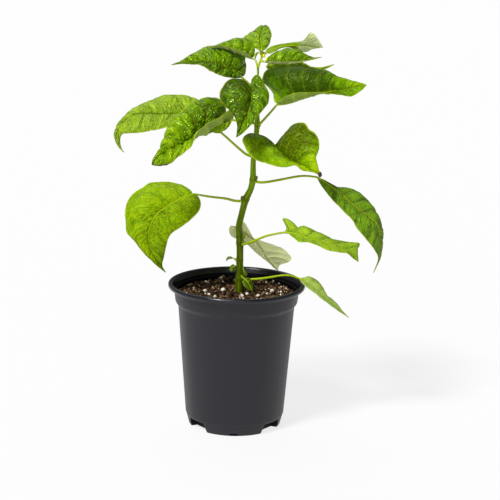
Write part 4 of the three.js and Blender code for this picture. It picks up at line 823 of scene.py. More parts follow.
# ---------- Finishes ----------
class Finish:
    """The nodes of one material, built round Blender's Principled shader."""

    def __init__(self, name):
        self.material = bpy.data.materials.new(name)
        self.material.use_nodes = True
        self.tree = self.material.node_tree
        self.shader = self.tree.nodes["Principled BSDF"]

    def node(self, kind, settings=None, **inputs):
        """A new node with these settings and inputs."""
        made = self.tree.nodes.new("ShaderNode" + kind)
        for key, value in (settings or {}).items():
            setattr(made, key, value)
        for key, value in inputs.items():
            self.feed(made.inputs[key.replace("_", " ")], value)
        return made

    def feed(self, socket, value):
        """Links a socket to an input, or sets the input to a value."""
        if isinstance(value, bpy.types.NodeSocket):
            self.tree.links.new(value, socket)
        else:
            socket.default_value = value

    def read(self, name, kind="Fac"):
        """A value that the mesh carries at its points."""
        return self.node("Attribute", {"attribute_name": name}).outputs[kind]

    def math(self, operation, first, second=0.0, clamp=False):
        """The result of one sum, product or the like."""
        made = self.node("Math", {"operation": operation, "use_clamp": clamp})
        self.feed(made.inputs[0], first)
        self.feed(made.inputs[1], second)
        return made.outputs[0]

    def span(self, value, low, high, to_low=0.0, to_high=1.0):
        """Maps low to high onto to_low to to_high, and keeps to those ends."""
        made = self.node("MapRange", {"clamp": True}, From_Min=low, From_Max=high, To_Min=to_low,
                         To_Max=to_high)
        self.feed(made.inputs["Value"], value)
        return made.outputs["Result"]

    def noise(self, where, scale, detail=2.0, rough=0.5, warp=0.0):
        """Soft unevenness round 0.5."""
        return self.node("TexNoise", None, Vector=where, Scale=scale, Detail=detail, Roughness=rough,
                         Distortion=warp).outputs["Fac"]

    def cells(self, where, scale):
        """Distance to the borders of irregular cells."""
        return self.node("TexVoronoi", {"feature": "DISTANCE_TO_EDGE"}, Vector=where,
                         Scale=scale).outputs["Distance"]

    def ramp(self, factor, stops):
        """A colour between (position, colour) stops."""
        made = self.node("ValToRGB", None, Fac=factor)
        elements = made.color_ramp.elements
        while len(elements) < len(stops):
            elements.new(0.5)
        for element, (position, value) in zip(elements, stops):
            element.position = position
            element.color = value
        return made.outputs["Color"]

    def blend(self, factor, first, second):
        """The first colour where the factor is 0 and the second where it is 1."""
        made = self.node("Mix", {"data_type": "RGBA", "clamp_factor": True})
        self.feed(made.inputs[0], factor)
        self.feed(made.inputs[6], first)
        self.feed(made.inputs[7], second)
        return made.outputs[2]

    def stretch(self, where, *scale):
        """The same place in space that is scaled along each axis."""
        return self.node("Mapping", None, Vector=where, Scale=scale).outputs["Vector"]

    def bump(self, height, distance, strength=1.0, before=None):
        """Fine relief of this height, on top of an earlier one if there is one."""
        made = self.node("Bump", None, Height=height, Distance=distance, Strength=strength)
        if before is not None:
            self.feed(made.inputs["Normal"], before)
        return made.outputs["Normal"]

    def set(self, **inputs):
        """Sets or links inputs of the shader and gives back the finished material."""
        for key, value in inputs.items():
            self.feed(self.shader.inputs[key.replace("_", " ")], value)
        return self.material


def leaf_upper(s, gloss="glossy"):
    """Upper face, glossy or dull: mottled green with pale veins, painted shade in its hollows and
    creases, a painted light rim and dry tips.
    """
    f = Finish(gloss + " leaf upper face")
    flat = f.read("flat", "Vector")
    patches = f.noise(flat, 0.10, 3.0, 0.6)
    flecks = f.noise(flat, 0.5, 4.0, 0.65)
    net = f.cells(flat, 0.40)
    folds = f.noise(f.read("grain", "Vector"), 1.0, 2.0, 0.5, 0.5)
    ridge = f.math("ABSOLUTE", f.math("SUBTRACT", folds, 0.5))
    crinkle = f.math("MULTIPLY", f.span(ridge, 0.0, 0.15), f.read("crinkle"))
    tone = f.math("ADD", f.read("tone"), f.span(patches, 0.3, 0.7, -0.15, 0.15))
    # Painted shade: the tone is darker along the creases of the fine folds and lighter on their ridges.
    tone = f.math("ADD", tone, f.math("MULTIPLY", f.math("SUBTRACT", crinkle, 0.5), 0.3))
    tone = f.math("ADD", tone, f.span(flecks, 0.3, 0.7, -0.1, 0.1))
    # Painted shade: darker where the blade lies low, in its hollows and sunk veins, and lighter on its
    # bulges.
    tone = f.math("ADD", tone, f.span(f.read("hollow"), 0.2, 1.0, 0.1, -0.3), True)
    green = f.ramp(tone, [(0.0, s.deep), (0.45, s.mid), (1.0, s.light)])
    yellow = f.math("MULTIPLY", f.read("yellow"), f.span(flecks, 0.38, 0.68, 0.1, 1.0))
    green = f.blend(yellow, green, s.yellow)
    fine_veins = f.math("MULTIPLY", f.span(net, 0.0, 0.09, 1.0, 0.0), 0.06)
    green = f.blend(fine_veins, green, s.vein)
    vein = f.math("MULTIPLY", f.read("vein"), f.span(flecks, 0.25, 0.65, 0.05, 0.35))
    green = f.blend(vein, green, s.vein)
    green = f.blend(f.math("MULTIPLY", f.read("spine"), 0.6), green, s.vein)
    # Painted light: a light rim along the thin edge.
    green = f.blend(f.math("MULTIPLY", f.read("edge"), 0.65), green, s.edge)
    green = f.blend(f.math("MULTIPLY", f.read("fade"), 0.55), green, s.pale)
    green = f.blend(f.read("scorch"), green, s.scorch)
    height = f.math("ADD", f.span(net, 0.0, 0.35), f.math("MULTIPLY", f.noise(flat, 1.3, 3.0), 0.7))
    rough = f.math("ADD", f.span(flecks, 0.3, 0.7, 0.2, 0.3), f.read("satin"))
    rough = f.math("ADD", rough, f.math("MULTIPLY", f.read("margin"), 0.4), True)
    crinkled = f.bump(crinkle, 0.0013, 1.0)
    return f.set(Base_Color=green, Roughness=rough, Specular_IOR_Level=GLOSS[gloss],
                 Specular_Tint=s.shine, Normal=f.bump(height, 0.00014, 0.8, crinkled))


def leaf_under(s):
    """Matt paler under face with raised veins."""
    f = Finish("leaf under face")
    flat = f.read("flat", "Vector")
    flecks = f.noise(flat, 0.5, 3.0, 0.6)
    net = f.cells(flat, 0.42)
    deep = f.blend(f.read("tone"), s.deep, s.under)
    green = f.blend(f.span(flecks, 0.25, 0.75, 0.3, 1.0), deep, s.under)
    pale = f.math("MULTIPLY", f.read("under"), f.span(flecks, 0.3, 0.7, 0.85, 1.0))
    green = f.blend(pale, green, s.pale)
    green = f.blend(f.math("MULTIPLY", f.read("yellow"), 0.5), green, s.yellow)
    light = f.blend(f.read("under"), s.vein, s.pale)
    green = f.blend(f.math("MULTIPLY", f.span(net, 0.0, 0.12, 1.0, 0.0), 0.2), green, light)
    veins = f.math("MAXIMUM", f.read("vein"), f.read("spine"))
    green = f.blend(f.math("MULTIPLY", veins, 0.65), green, light)
    # Painted light: a light rim along the thin edge.
    green = f.blend(f.math("MULTIPLY", f.read("edge"), 0.5), green, s.edge)
    green = f.blend(f.read("scorch"), green, s.scorch)
    height = f.math("ADD", f.span(net, 0.0, 0.35, 1.0, 0.0), f.math("MULTIPLY", flecks, 0.5))
    height = f.math("ADD", height, f.math("MULTIPLY", f.read("vein"), 2.0))
    return f.set(Base_Color=green, Roughness=0.6, Specular_IOR_Level=0.15, Specular_Tint=s.shine,
                 Normal=f.bump(height, 0.00018, 0.7))


def leaf_stalk(s):
    """Smooth stalk and rib with fine lengthwise streaks."""
    f = Finish("leaf stalk")
    flat = f.read("flat", "Vector")
    streak = f.noise(f.stretch(flat, 0.08, 1.6, 1), 1.0, 3.0)
    green = f.blend(f.span(streak, 0.4, 0.75, 0.0, 0.3), s.stalk, s.mid)
    green = f.blend(f.read("under"), green, s.pale_rib)
    green = f.blend(f.read("scorch"), green, s.scorch)
    return f.set(Base_Color=green, Roughness=0.38, Specular_IOR_Level=0.25, Specular_Tint=s.shine,
                 Normal=f.bump(streak, 0.0002, 0.6))


def stem_skin(s):
    """Ribbed green stem, darker toward the foot, with dark streaks and dry bud scales."""
    f = Finish("stem skin")
    flat = f.read("flat", "Vector")
    streak = f.noise(f.stretch(flat, 0.06, 1.1, 1), 1.0, 4.0, 0.6)
    fine = f.noise(flat, 1.4, 3.0)
    green = f.blend(f.read("age"), s.fresh, s.old)
    dark = f.math("MULTIPLY", f.span(streak, 0.48, 0.66, 0.0, 0.75), f.read("furrow"))
    green = f.blend(dark, green, s.streak)
    light = f.math("MULTIPLY", f.span(streak, 0.3, 0.44, 0.22, 0.0), f.read("furrow"))
    green = f.blend(light, green, s.tip)
    green = f.blend(f.math("MULTIPLY", f.read("node"), 0.55), green, s.streak)
    green = f.blend(f.read("young"), green, s.tip)
    green = f.blend(f.math("MULTIPLY", f.read("dry"), f.span(fine, 0.3, 0.6, 0.7, 1.0)), green, s.bud)
    height = f.math("ADD", streak, f.math("MULTIPLY", fine, 0.4))
    return f.set(Base_Color=green, Roughness=0.4, Specular_IOR_Level=0.2, Specular_Tint=s.shine,
                 Normal=f.bump(height, 0.00035, 0.7))


def pot_plastic(s):
    """Satin dark plastic with a fine moulded grain, faint turning marks and rubbed places."""
    f = Finish("pot plastic")
    where = f.node("TexCoord").outputs["Object"]
    grain = f.noise(where, 2600.0, 3.0, 0.6)
    rub = f.noise(f.stretch(where, 60, 60, 1), 1.0, 5.0, 0.6)
    rings = f.noise(f.stretch(where, 2, 2, 700), 1.0, 2.0)
    plastic = f.blend(f.span(rub, 0.5, 0.75, 0.0, 0.35), s.plastic, s.scuff)
    rough = f.math("ADD", f.span(rub, 0.35, 0.7, -0.05, 0.07), s.roughness)
    rough = f.math("SUBTRACT", rough, f.math("MULTIPLY", f.read("polish"), 0.25))
    height = f.math("ADD", grain, f.math("MULTIPLY", rings, 0.35))
    return f.set(Base_Color=plastic, Roughness=rough, Specular_IOR_Level=0.42,
                 Normal=f.bump(height, 0.00008, 0.5))


def pot_inside_shade(s):
    """Dull plastic painted darker than the outer wall, as painted shade, for the pot's inner wall,
    underside and cut faces.
    """
    f = Finish("pot inside shade")
    return f.set(Base_Color=s.inner, Roughness=0.5, Specular_IOR_Level=0.06)


def peat(s):
    """Damp peat: dark gaps painted as shade, brown crumbs and drier bits."""
    f = Finish("peat")
    where = f.node("TexCoord").outputs["Object"]
    fine = f.noise(where, 900.0, 4.0, 0.7)
    patch = f.noise(where, 190.0, 3.0, 0.6)
    shade = f.math("ADD", f.read("shade"), f.span(fine, 0.3, 0.7, -0.28, 0.28))
    shade = f.math("ADD", shade, f.span(patch, 0.3, 0.7, -0.15, 0.15), True)
    brown = f.ramp(shade, [(0.0, s.dark), (0.5, s.mid), (1.0, s.light)])
    return f.set(Base_Color=brown, Roughness=0.92, Specular_IOR_Level=0.2,
                 Normal=f.bump(fine, 0.0008, 0.9))


def perlite(s):
    """White expanded grains, pitted and a little stained."""
    f = Finish("perlite")
    where = f.node("TexCoord").outputs["Object"]
    fine = f.noise(where, 1500.0, 3.0, 0.6)
    stain = f.math("ADD", f.read("shade"), f.span(fine, 0.35, 0.7, -0.15, 0.25), True)
    white = f.blend(stain, s.grain, s.grain_shade)
    return f.set(Base_Color=white, Roughness=0.8, Specular_IOR_Level=0.3,
                 Normal=f.bump(fine, 0.0003, 0.8))


# ---------- Leaves ----------
def blade_edge(leaf, half):
    """The edge of one half, from the stalk round to the tip."""
    return Curve([leaf["rib"][0], *leaf[half], leaf["rib"][-1]], leaf["face"])


def half_blade(leaf, rib, edge, half, share, across, ruffle, seed):
    """Points and half-widths of one half of a blade, spanned from the rib to its edge."""
    sign = SIGN[half]
    at = rib.pick(rib.at, share)
    along = unit(rib.pick(rib.tangent, share))
    side = unit(rib.pick(rib.side, share))
    reach = edge.pick(edge.at, share) - at + sign * EDGE_HALF * side
    width = np.linalg.norm(reach, axis=-1)
    normal = unit(np.cross(sign * unit(reach), along) + UP_SHARE * np.cross(side, along))
    lift = station(leaf["camber"][half], share) * width * 4 * across * (1 - across)
    run = np.stack([share * edge.length, share * 0 + sign * WAVE_APART, share * 0], -1)
    waves = lumps(run, WAVE_SIZES[0], seed + 1) + 0.5 * lumps(run, WAVE_SIZES[1], seed + 2)
    lift += ruffle * waves * across ** 2.5 * np.minimum(1, width / FULL_WIDTH)
    return at + reach * across[..., None] + normal * lift[..., None], width


def vein_lines(count, seed):
    """Where the side veins leave the rib, left and right by turns."""
    rng = np.random.default_rng(seed)
    at = VEINS_FROM + VEINS_SPAN * ((np.arange(count) + 0.4) / count) ** 1.12
    at = at + rng.uniform(-VEIN_JITTER, VEIN_JITTER, count) / count
    return {"left": at[0::2], "right": at[1::2]}


def blade_rows(rib_length, lines):
    """Shares of the rows: close together at each side vein and even between them."""
    wanted = [FIRST_SHARE, LAST_SHARE]
    for line in lines:
        wanted.extend(line + offset / rib_length for offset in VEIN_ROWS)
    wanted = sorted(w for w in wanted if FIRST_SHARE <= w <= LAST_SHARE)
    rows = [wanted[0]]
    for w in wanted[1:]:
        gap = w - rows[-1]
        if gap * rib_length < LEAST_STEP and w < LAST_SHARE:
            continue
        n = max(1, math.ceil(gap * rib_length / ROW_STEP))
        rows.extend(rows[-1] + gap * np.arange(1, n + 1) / n)
    return np.array(rows)


def pillows(rows, own, across):
    """The swelling between two side veins, from 0 at a vein to 1."""
    bounds = np.concatenate([[0], own, [1]])
    k = np.clip(np.searchsorted(bounds, rows, side="right") - 1, 0, len(bounds) - 2)
    between = (rows - bounds[k]) / (bounds[k + 1] - bounds[k])
    pillow = np.sin(math.pi * np.clip(between, 0, 1))[:, None] ** 0.75
    return pillow * (4 * across * (1 - across)) ** 0.5


def half_surface(leaf, look, rib, half, rows, own, seed, s, scale):
    """Points and point values of one half, whose own side veins leave the rib at these shares."""
    sign = SIGN[half]
    edge = blade_edge(leaf, half)
    widest = np.linalg.norm(edge.pick(edge.at, rib.share) - rib.at, axis=1).max()
    lean = min(FORWARD * widest / rib.length, MOST_FORWARD)
    across = ACROSS[None, :]
    share = rows[:, None] + lean * (0.8 * across + 0.2 * across ** 2) \
        * np.sin(math.pi * rows[:, None] ** 0.9)
    share = np.clip(share, FIRST_SHARE, LAST_SHARE)
    across = np.broadcast_to(across, share.shape)
    points, width = half_blade(leaf, rib, edge, half, share, across, s.ruffle / MM * scale, seed)

    from_rib = across * width
    along = rows[:, None] * rib.length + 0 * across
    drift = np.stack([along, from_rib, 0 * across], -1)
    sway = VEIN_SWAY * scale * lumps(drift, SWAY_SIZE, seed + 3) * np.minimum(1, 3 * across)
    nearest = np.abs(along + sway - (own * rib.length)[:, None, None]).min(0) * VEIN_SLANT
    line = np.exp(-(nearest / (VEIN_HALF * scale)) ** 2) * (1 - across) ** 0.35 \
        * (1 - smooth(0.9, 1, share))
    spine = np.exp(-(from_rib / (RIB_HALF * scale)) ** 2)

    spots = drift * BLISTER_STRETCH / scale
    bulge = np.abs(lumps(spots, BLISTER_SIZES[0], seed + 5)) \
        + 0.6 * np.abs(lumps(spots, BLISTER_SIZES[1], seed + 6))
    calm = (1 - 0.8 * line) * (1 - spine) * np.minimum(1, width / CALM_WIDTH)
    raised = look["quilt"] * pillows(rows, own, across) * np.minimum(1, width / FULL_WIDTH) \
        + look["blister"] * bulge * calm
    raised = raised - np.maximum(line * 0.8, spine) * s.groove / MM * scale
    return {
        "points": points, "share": share, "across": across, "raised": raised,
        "line": np.maximum(line * 0.7, spine), "vein": line * 0.9, "spine": spine,
        # hollow: how low the blade lies, which the upper face turns into painted shade.
        "hollow": np.clip(1 - raised / max(look["quilt"] + look["blister"], 0.1), 0, 1),
        "tone": station(look[half], share),
        "flat": np.stack([share * rib.length, sign * from_rib, np.full(share.shape, seed * 37.0)], -1),
        "grain": np.stack([along * FOLD_SCALE[0] / scale, from_rib * FOLD_SCALE[1] / scale,
                           np.full(share.shape, seed * 5.0 + sign)], -1),
    }


def blade_faces(r, c):
    """Faces of the upper grid, of the under grid that follows it and of the rim between them."""
    upper = [(a, a + 1, a + c + 1, a + c) for i in range(r - 1) for a in range(i * c, i * c + c - 1)]
    under = [tuple(k + r * c for k in face[::-1]) for face in upper]
    loop = list(range(c - 1)) + [i * c + c - 1 for i in range(r - 1)] \
        + [(r - 1) * c + j for j in range(c - 1, 0, -1)] + [i * c for i in range(r - 1, 0, -1)]
    rim = [(a, a + r * c, b + r * c, b) for a, b in zip(loop, loop[1:] + loop[:1])]
    return upper, under, rim


def blade_values(join, look, seed):
    """The numbers at each point that the leaf finishes read."""
    share, across, spine = join["share"], join["across"], join["spine"]
    start = look.get("scorch", NEVER)
    scorch = smooth(start, start + SCORCH_BLEND, share)
    if "singe" in look:
        half, start = look["singe"]
        column = SIGN[half] * (np.arange(share.shape[1]) - len(ACROSS) + 1)[None, :]
        ragged = 0.05 * lumps(join["flat"], 3.0, seed + 8)
        scorch = np.maximum(scorch, (column > 0) * smooth(start, start + SINGE_BLEND, share)
                            * smooth(0.8, 0.9, across + ragged))
    start = look.get("pale_from", NEVER)
    fade = smooth(start, start + PALE_BLEND, share)
    return {
        "tone": join["tone"], "vein": join["vein"], "spine": spine, "hollow": join["hollow"],
        # edge carries the painted light rim; margin only adds roughness.
        "edge": smooth(EDGE_FROM, 1, across), "margin": smooth(0.78, 0.98, across), "scorch": scorch,
        "fade": np.maximum(fade, look.get("wan", 0.0)),
        "crinkle": np.clip(look["blister"] * 1.1, 0.1, 1) * (1 - 0.9 * spine),
        "satin": np.full(share.shape, look.get("satin", 0.0)),
        "yellow": np.full(share.shape, look["yellow"]), "under": np.full(share.shape, look["under"]),
    }


def add_blade(shape, leaf, look, seed, s, scale=1.0):
    """Adds a closed blade and gives back the curve of its rib."""
    rib = Curve(leaf["rib"], leaf["face"])
    lines = vein_lines(look["veins"], seed)
    rows = blade_rows(rib.length, np.concatenate(list(lines.values())))
    left, right = [half_surface(leaf, look, rib, half, rows, own, seed, s, scale)
                   for half, own in lines.items()]
    join = {key: np.concatenate([left[key][:, ::-1], right[key][:, 1:]], 1) for key in left}
    join["tone"][:, len(ACROSS) - 1] = (left["tone"][:, 0] + right["tone"][:, 0]) / 2

    grid = join["points"]
    normal = unit(np.cross(np.gradient(grid, axis=1), np.gradient(grid, axis=0)))
    thin = s.blade / MM * scale * (1 - THIN_EDGE * smooth(0.8, 1, join["across"]))
    top = grid + normal * (join["raised"] + thin / 2)[..., None]
    low = grid + normal * (join["raised"] - thin / 2 - join["line"] * s.ridge / MM * scale)[..., None]
    upper, under, rim = blade_faces(*grid.shape[:2])
    values = {key: np.concatenate([v.ravel()] * 2) for key, v in blade_values(join, look, seed).items()}
    for key in ("flat", "grain"):
        values[key] = np.concatenate([join[key].reshape(-1, 3)] * 2)
    shape.add(np.vstack([top.reshape(-1, 3), low.reshape(-1, 3)]), upper + under + rim,
              [0] * len(upper) + [1] * len(under) + [2] * len(rim), **values)
    if "knob" in look:
        form, form_faces = ball(12, 9)
        lump = form * (1 + 0.2 * lumps(form * 1.6, 1.0, seed))[:, None] * look["knob"]
        shape.add(lump * KNOB_FORM + rib.at[-1], form_faces, 0, flat=lump, scorch=1.0)
    return rib


def add_stalk(shape, leaf, rib, radii, look, scale=1.0):
    """Adds the stalk and the thick rib under the blade, as one tube."""
    stalk = Curve(leaf["stalk"], leaf["face"])
    start = min(JOINT_START * scale / stalk.length, 0.3)
    shares = np.linspace(start, 0.999, max(8, int(stalk.length / STALK_STEP)))
    points = list(stalk.pick(stalk.at, shares))
    size = list(np.interp(shares, [0, 1], radii))
    for i, d in enumerate(shares * stalk.length):
        size[i] *= 1 + JOINT_SWELL * math.exp(-(d / (JOINT_REACH * scale)) ** 2)
    under = np.linspace(0.02, RIB_SHARE, 40)
    drop = (RIB_DROP * scale * np.minimum(1, under * 12))[:, None]
    points += list(rib.pick(rib.at, under) - rib.pick(rib.up, under) * drop)
    size += list(radii[1] * (1 - under / RIB_SHARE) ** 0.8 + RIB_TIP_R * scale)
    curve = Curve(points, leaf["face"], 400)
    run = path_run(np.array(points))
    even = np.linspace(0, 1, max(40, int(curve.length / RIB_STEP)))
    scorch = smooth(0.985, 1.0, even) if "scorch" in look else even * 0
    tube(shape, curve, even, np.interp(even * run[-1], run, size), STALK_SIDES, 2, scorch=scorch,
         under=smooth(0.8, 1, look["under"]) * smooth(0.1, 0.3, even))


def make_leaf(name, leaf, look, seed, radii, materials, s, scale=1.0):
    """Makes one leaf with its stalk as one piece."""
    shape = Shape()
    rib = add_blade(shape, leaf, look, seed, s, scale)
    add_stalk(shape, leaf, rib, radii, look, scale)
    piece = shape.piece(name + "_veined", materials, LEAF_SHARP)
    settle(piece, name)


def leaf_finishes(s):
    """Finishes of the upper face, the under face, and the rim and stalk."""
    return [leaf_upper(s), leaf_under(s), leaf_stalk(s)]


class CHILLI_OT_leaves(bpy.types.Operator):
    """Make the sixteen big leaves with their stalks"""
    bl_idname = "chilli.leaves"
    bl_label = "Leaves"

    def execute(self, context):
        s = context.scene.chilli_leaf
        glossy = leaf_finishes(s)
        dull = [leaf_upper(s, "dull")] + glossy[1:]
        for seed, (name, leaf) in enumerate(LEAVES.items(), LEAF_SEED):
            radii = TOP_STALK_R if name in TOP_LEAVES else STALK_R
            make_leaf(name, leaf, LOOKS[name], seed, radii, dull if name in DULL_LEAVES else glossy, s)
        return {"FINISHED"}


class CHILLI_OT_foot_leaves(bpy.types.Operator):
    """Make the small leaves and sprouts at the foot of the stem"""
    bl_idname = "chilli.foot_leaves"
    bl_label = "Foot leaves"

    def execute(self, context):
        s = context.scene.chilli_leaf
        finishes = leaf_finishes(s)
        for seed, (name, leaf) in enumerate(SMALL_LEAVES.items(), SMALL_LEAF_SEED):
            make_leaf(name, leaf, SMALL_LOOK, seed, SMALL_STALK_R, finishes, s, SMALL_SCALE)
        return {"FINISHED"}


# ---------- Stem ----------
def bud(shape, at, across, along, lean, dry, seed, young=0.0):
    """A bud: a core with pointed scales round it."""
    axis = unit(np.array([lean[0], lean[1], 1.0]))
    one = unit(np.cross(axis, [0, 1, 0.01]))
    two = np.cross(axis, one)
    v = np.linspace(-0.5, 0.5, BUD_RINGS + 1)[:, None] * math.pi
    u = np.arange(BUD_SIDES)[None, :] * 2 * math.pi / BUD_SIDES
    for k in range(BUD_SCALES + 1):
        turn = k * BUD_TURN + seed
        core = k == 0
        shift = 0.0 if core else BUD_SHIFT * across
        size = across * (1.0 if core else 0.72)
        r = np.cos(v) ** 0.8 * size * (1 - 0.25 * np.sin(v))
        h = np.sin(v) * along * (1.0 if core else 0.8 - 0.06 * k) + 0 * u
        x = r * np.cos(u) + shift * math.cos(turn)
        y = r * np.sin(u) + shift * math.sin(turn)
        points = np.array(at) + x[..., None] * one + y[..., None] * two + h[..., None] * axis
        points = points.reshape(-1, 3)
        shape.add(points, ring_faces(BUD_RINGS + 1, BUD_SIDES), 0, flat=points,
                  dry=dry * (0.8 + 0.2 * (k % 2)), age=0.5, young=young, furrow=0.5)


def stem_bumps(angle, at):
    """Scales the stem's radius by its slowly turning ribs."""
    wave = np.cos(STEM_RIBS * angle + 2 * math.pi * STEM_TWIST * at * STEM_RIBS)
    return 1 + RIB_HEIGHT * (np.abs(wave) ** 0.7 * np.sign(wave)) * (0.6 + 0.4 * np.sin(at * 40))


def add_stem(shape):
    """Adds the main stem with its joint swellings."""
    curve = Curve(STEM, (0, 1, 0), 800)
    run = np.concatenate([[0], np.cumsum([math.dist(a[:3], b[:3]) for a, b in zip(STEM, STEM[1:])])])
    share = np.linspace(0, 1, int(curve.length / STEM_STEP))
    radii = np.interp(share * run[-1], run, [p[3] for p in STEM])
    kernel = np.exp(-(np.arange(-STEM_EVEN, STEM_EVEN + 1) / 5.0) ** 2)
    kernel = kernel / kernel.sum()
    radii = np.convolve(np.pad(radii, STEM_EVEN, "edge"), kernel, "valid")
    height = curve.pick(curve.at, share)[:, 2]
    node = np.zeros_like(share)
    for z, swell in NODE_HEIGHTS:
        radii = radii * (1 + swell * np.exp(-((height - z) / NODE_REACH) ** 2))
        node = np.maximum(node, np.exp(-((height - z) / NODE_LINE) ** 2))
    tube(shape, curve, share, radii, STEM_SIDES, 0, stem_bumps,
         age=1 - smooth(OLD_BELOW, FRESH_ABOVE, height), node=node, young=0.0, dry=0.0, furrow=1.0)


def tip_leaf(base, reach, half):
    """Form of one of the growing tip's leaves, cupped toward the middle of the tip."""
    base, reach = np.array(base), np.array(reach)
    bend = np.array([0, 0, TIP_BEND])
    face = unit(-reach * np.array([1, 1, 0]) + np.array([0, 0, 0.5]))
    wide = unit(np.cross(reach, face))
    rib = [base, base + reach * 0.35 + bend, base + reach * 0.7 + bend, base + reach]
    leaf = {"rib": rib, "face": face, "camber": {"left": [0.15], "right": [0.15]}}
    for name, sign in SIGN.items():
        leaf[name] = [at + half * (0.75 * sign * wide + 0.6 * face) for at in rib[1:3]]
    return leaf


class CHILLI_OT_stem(bpy.types.Operator):
    """Make the ribbed stem with its joints, buds, fork and growing tip"""
    bl_idname = "chilli.stem"
    bl_label = "Stem"

    def execute(self, context):
        shape = Shape()
        add_stem(shape)
        for branch in FORK_BRANCHES:
            even = np.linspace(0, 1, 16)
            tube(shape, Curve(branch, (0, 1, 0), 60), even, station([p[3] for p in branch], even),
                 FORK_SIDES, 0, None, age=0.0, node=0.0, young=0.35, dry=0.0, furrow=0.4)
        for k, (x, y, z, across, along, lean_x, lean_y, dry) in enumerate(BUDS):
            bud(shape, (x, y, z), across, along, (lean_x, lean_y), dry, k)
        for k, (x, y, z, across, along) in enumerate(TIP_BUDS, TIP_BUD_SEED):
            bud(shape, (x, y, z), across, along, TIP_BUD_LEAN, 0.0, k, 1.0)
        settle(shape.piece("stem_ribbed", [stem_skin(context.scene.chilli_stem)]), "stem")

        s = context.scene.chilli_leaf
        tip = Shape()
        for seed, (base, reach, half) in enumerate(TIP_LEAVES, TIP_LEAF_SEED):
            add_blade(tip, tip_leaf(base, reach, half), TIP_LOOK, seed, s, TIP_SCALE)
        settle(tip.piece("stem_tip_leaves", leaf_finishes(s)), "stem")
        return {"FINISHED"}


# ---------- Pot ----------
def rounded(profile):
    """The profile with each corner rounded by its own size."""
    out = []
    for i, (r, z, size) in enumerate(profile):
        if size == 0 or i in (0, len(profile) - 1):
            out.append((r, z))
            continue
        here = np.array([r, z])
        before = np.array(profile[i - 1][:2], float)
        after = np.array(profile[i + 1][:2], float)
        a, b = (here + unit(to - here) * min(size, CORNER_SHARE * np.linalg.norm(to - here))
                for to in (before, after))
        for t in np.linspace(0, 1, CORNER_STEPS + 1):
            out.append(tuple((1 - t) ** 2 * a + 2 * t * (1 - t) * here + t ** 2 * b))
    return out


def around(angle, r, z):
    """A point at an angle from the front, in degrees."""
    a = math.radians(angle)
    return (r * math.sin(a), -r * math.cos(a), z)


def notch_cutter():
    """One solid of all that is cut from the pot's foot."""
    shape = Shape()
    for angle in NOTCH_ANGLES:
        corners = [around(angle + sign * half, r, z) for sign in (-1, 1)
                   for z, half in ((-1, NOTCH_FOOT_HALF + 1), (NOTCH_TOP, NOTCH_TOP_HALF))
                   for r in NOTCH_RADII]
        # Slot 1 carries onto the faces cut into the foot, so these take the darker plastic painted as
        # shade.
        shape.add(corners, BOX_FACES, 1)
    half_r, half_w, half_h = (v / 2 for v in DRAIN_SIZE)
    for angle in DRAIN_ANGLES:
        out = np.array(around(angle, 1, 0))
        along = np.array([-out[1], out[0], 0])
        centre = out * DRAIN_R + np.array([0, 0, POT_RING_TOP - DRAIN_DROP])
        corners = [centre + along * w + out * r + np.array([0, 0, z])
                   for w in (-half_w, half_w) for z in (-half_h, half_h) for r in (-half_r, half_r)]
        shape.add(corners, BOX_FACES, 1)
    half_x, half_y = SLOT_SIZE[0] / 2, SLOT_SIZE[1] / 2
    for middle in (-SLOT_R, SLOT_R):
        corners = [(x, middle + y, z) for x in (-half_x, half_x)
                   for z in (SLOT_LIP, SLOT_LIP + SLOT_SIZE[2]) for y in (-half_y, half_y)]
        shape.add(corners, BOX_FACES, 1)
    return shape.piece("foot_cutter", [])


def turned_pot():
    """The pot's profile turned round the upright axis, with its underside and inner wall in a dull
    plastic painted darker as shade.
    """
    profile = rounded(POT_PROFILE)
    angle = np.arange(POT_SIDES) * 2 * math.pi / POT_SIDES
    top = max(range(len(profile)), key=lambda i: profile[i][1])
    points, index, faces, slots = [], [], [], []
    for r, z in profile:
        first = len(points)
        if r == 0:
            points.append((0, 0, z))
            index.append([first] * POT_SIDES)
        else:
            points.extend((r * math.sin(a), -r * math.cos(a), z) for a in angle)
            index.append(list(range(first, first + POT_SIDES)))
    index[-1] = index[0]
    for i in range(len(index) - 1):
        for j in range(POT_SIDES):
            k = (j + 1) % POT_SIDES
            face = list(dict.fromkeys([index[i][j], index[i][k], index[i + 1][k], index[i + 1][j]]))
            if len(face) > 2:
                faces.append(face)
                # The underside and the inner wall take the second finish: painted shade.
                slots.append(int(i < UNDER_STEPS or i > top + INNER_STEPS))
    points = np.array(points)
    shape = Shape()
    shape.add(points, faces, slots, polish=smooth(POLISH_FROM, POLISH_TO, points[:, 2]))
    return shape


def outward(mesh):
    """Turns the faces of a closed mesh outward."""
    work = bmesh.new()
    work.from_mesh(mesh)
    bmesh.ops.recalc_face_normals(work, faces=work.faces)
    work.to_mesh(mesh)
    work.free()


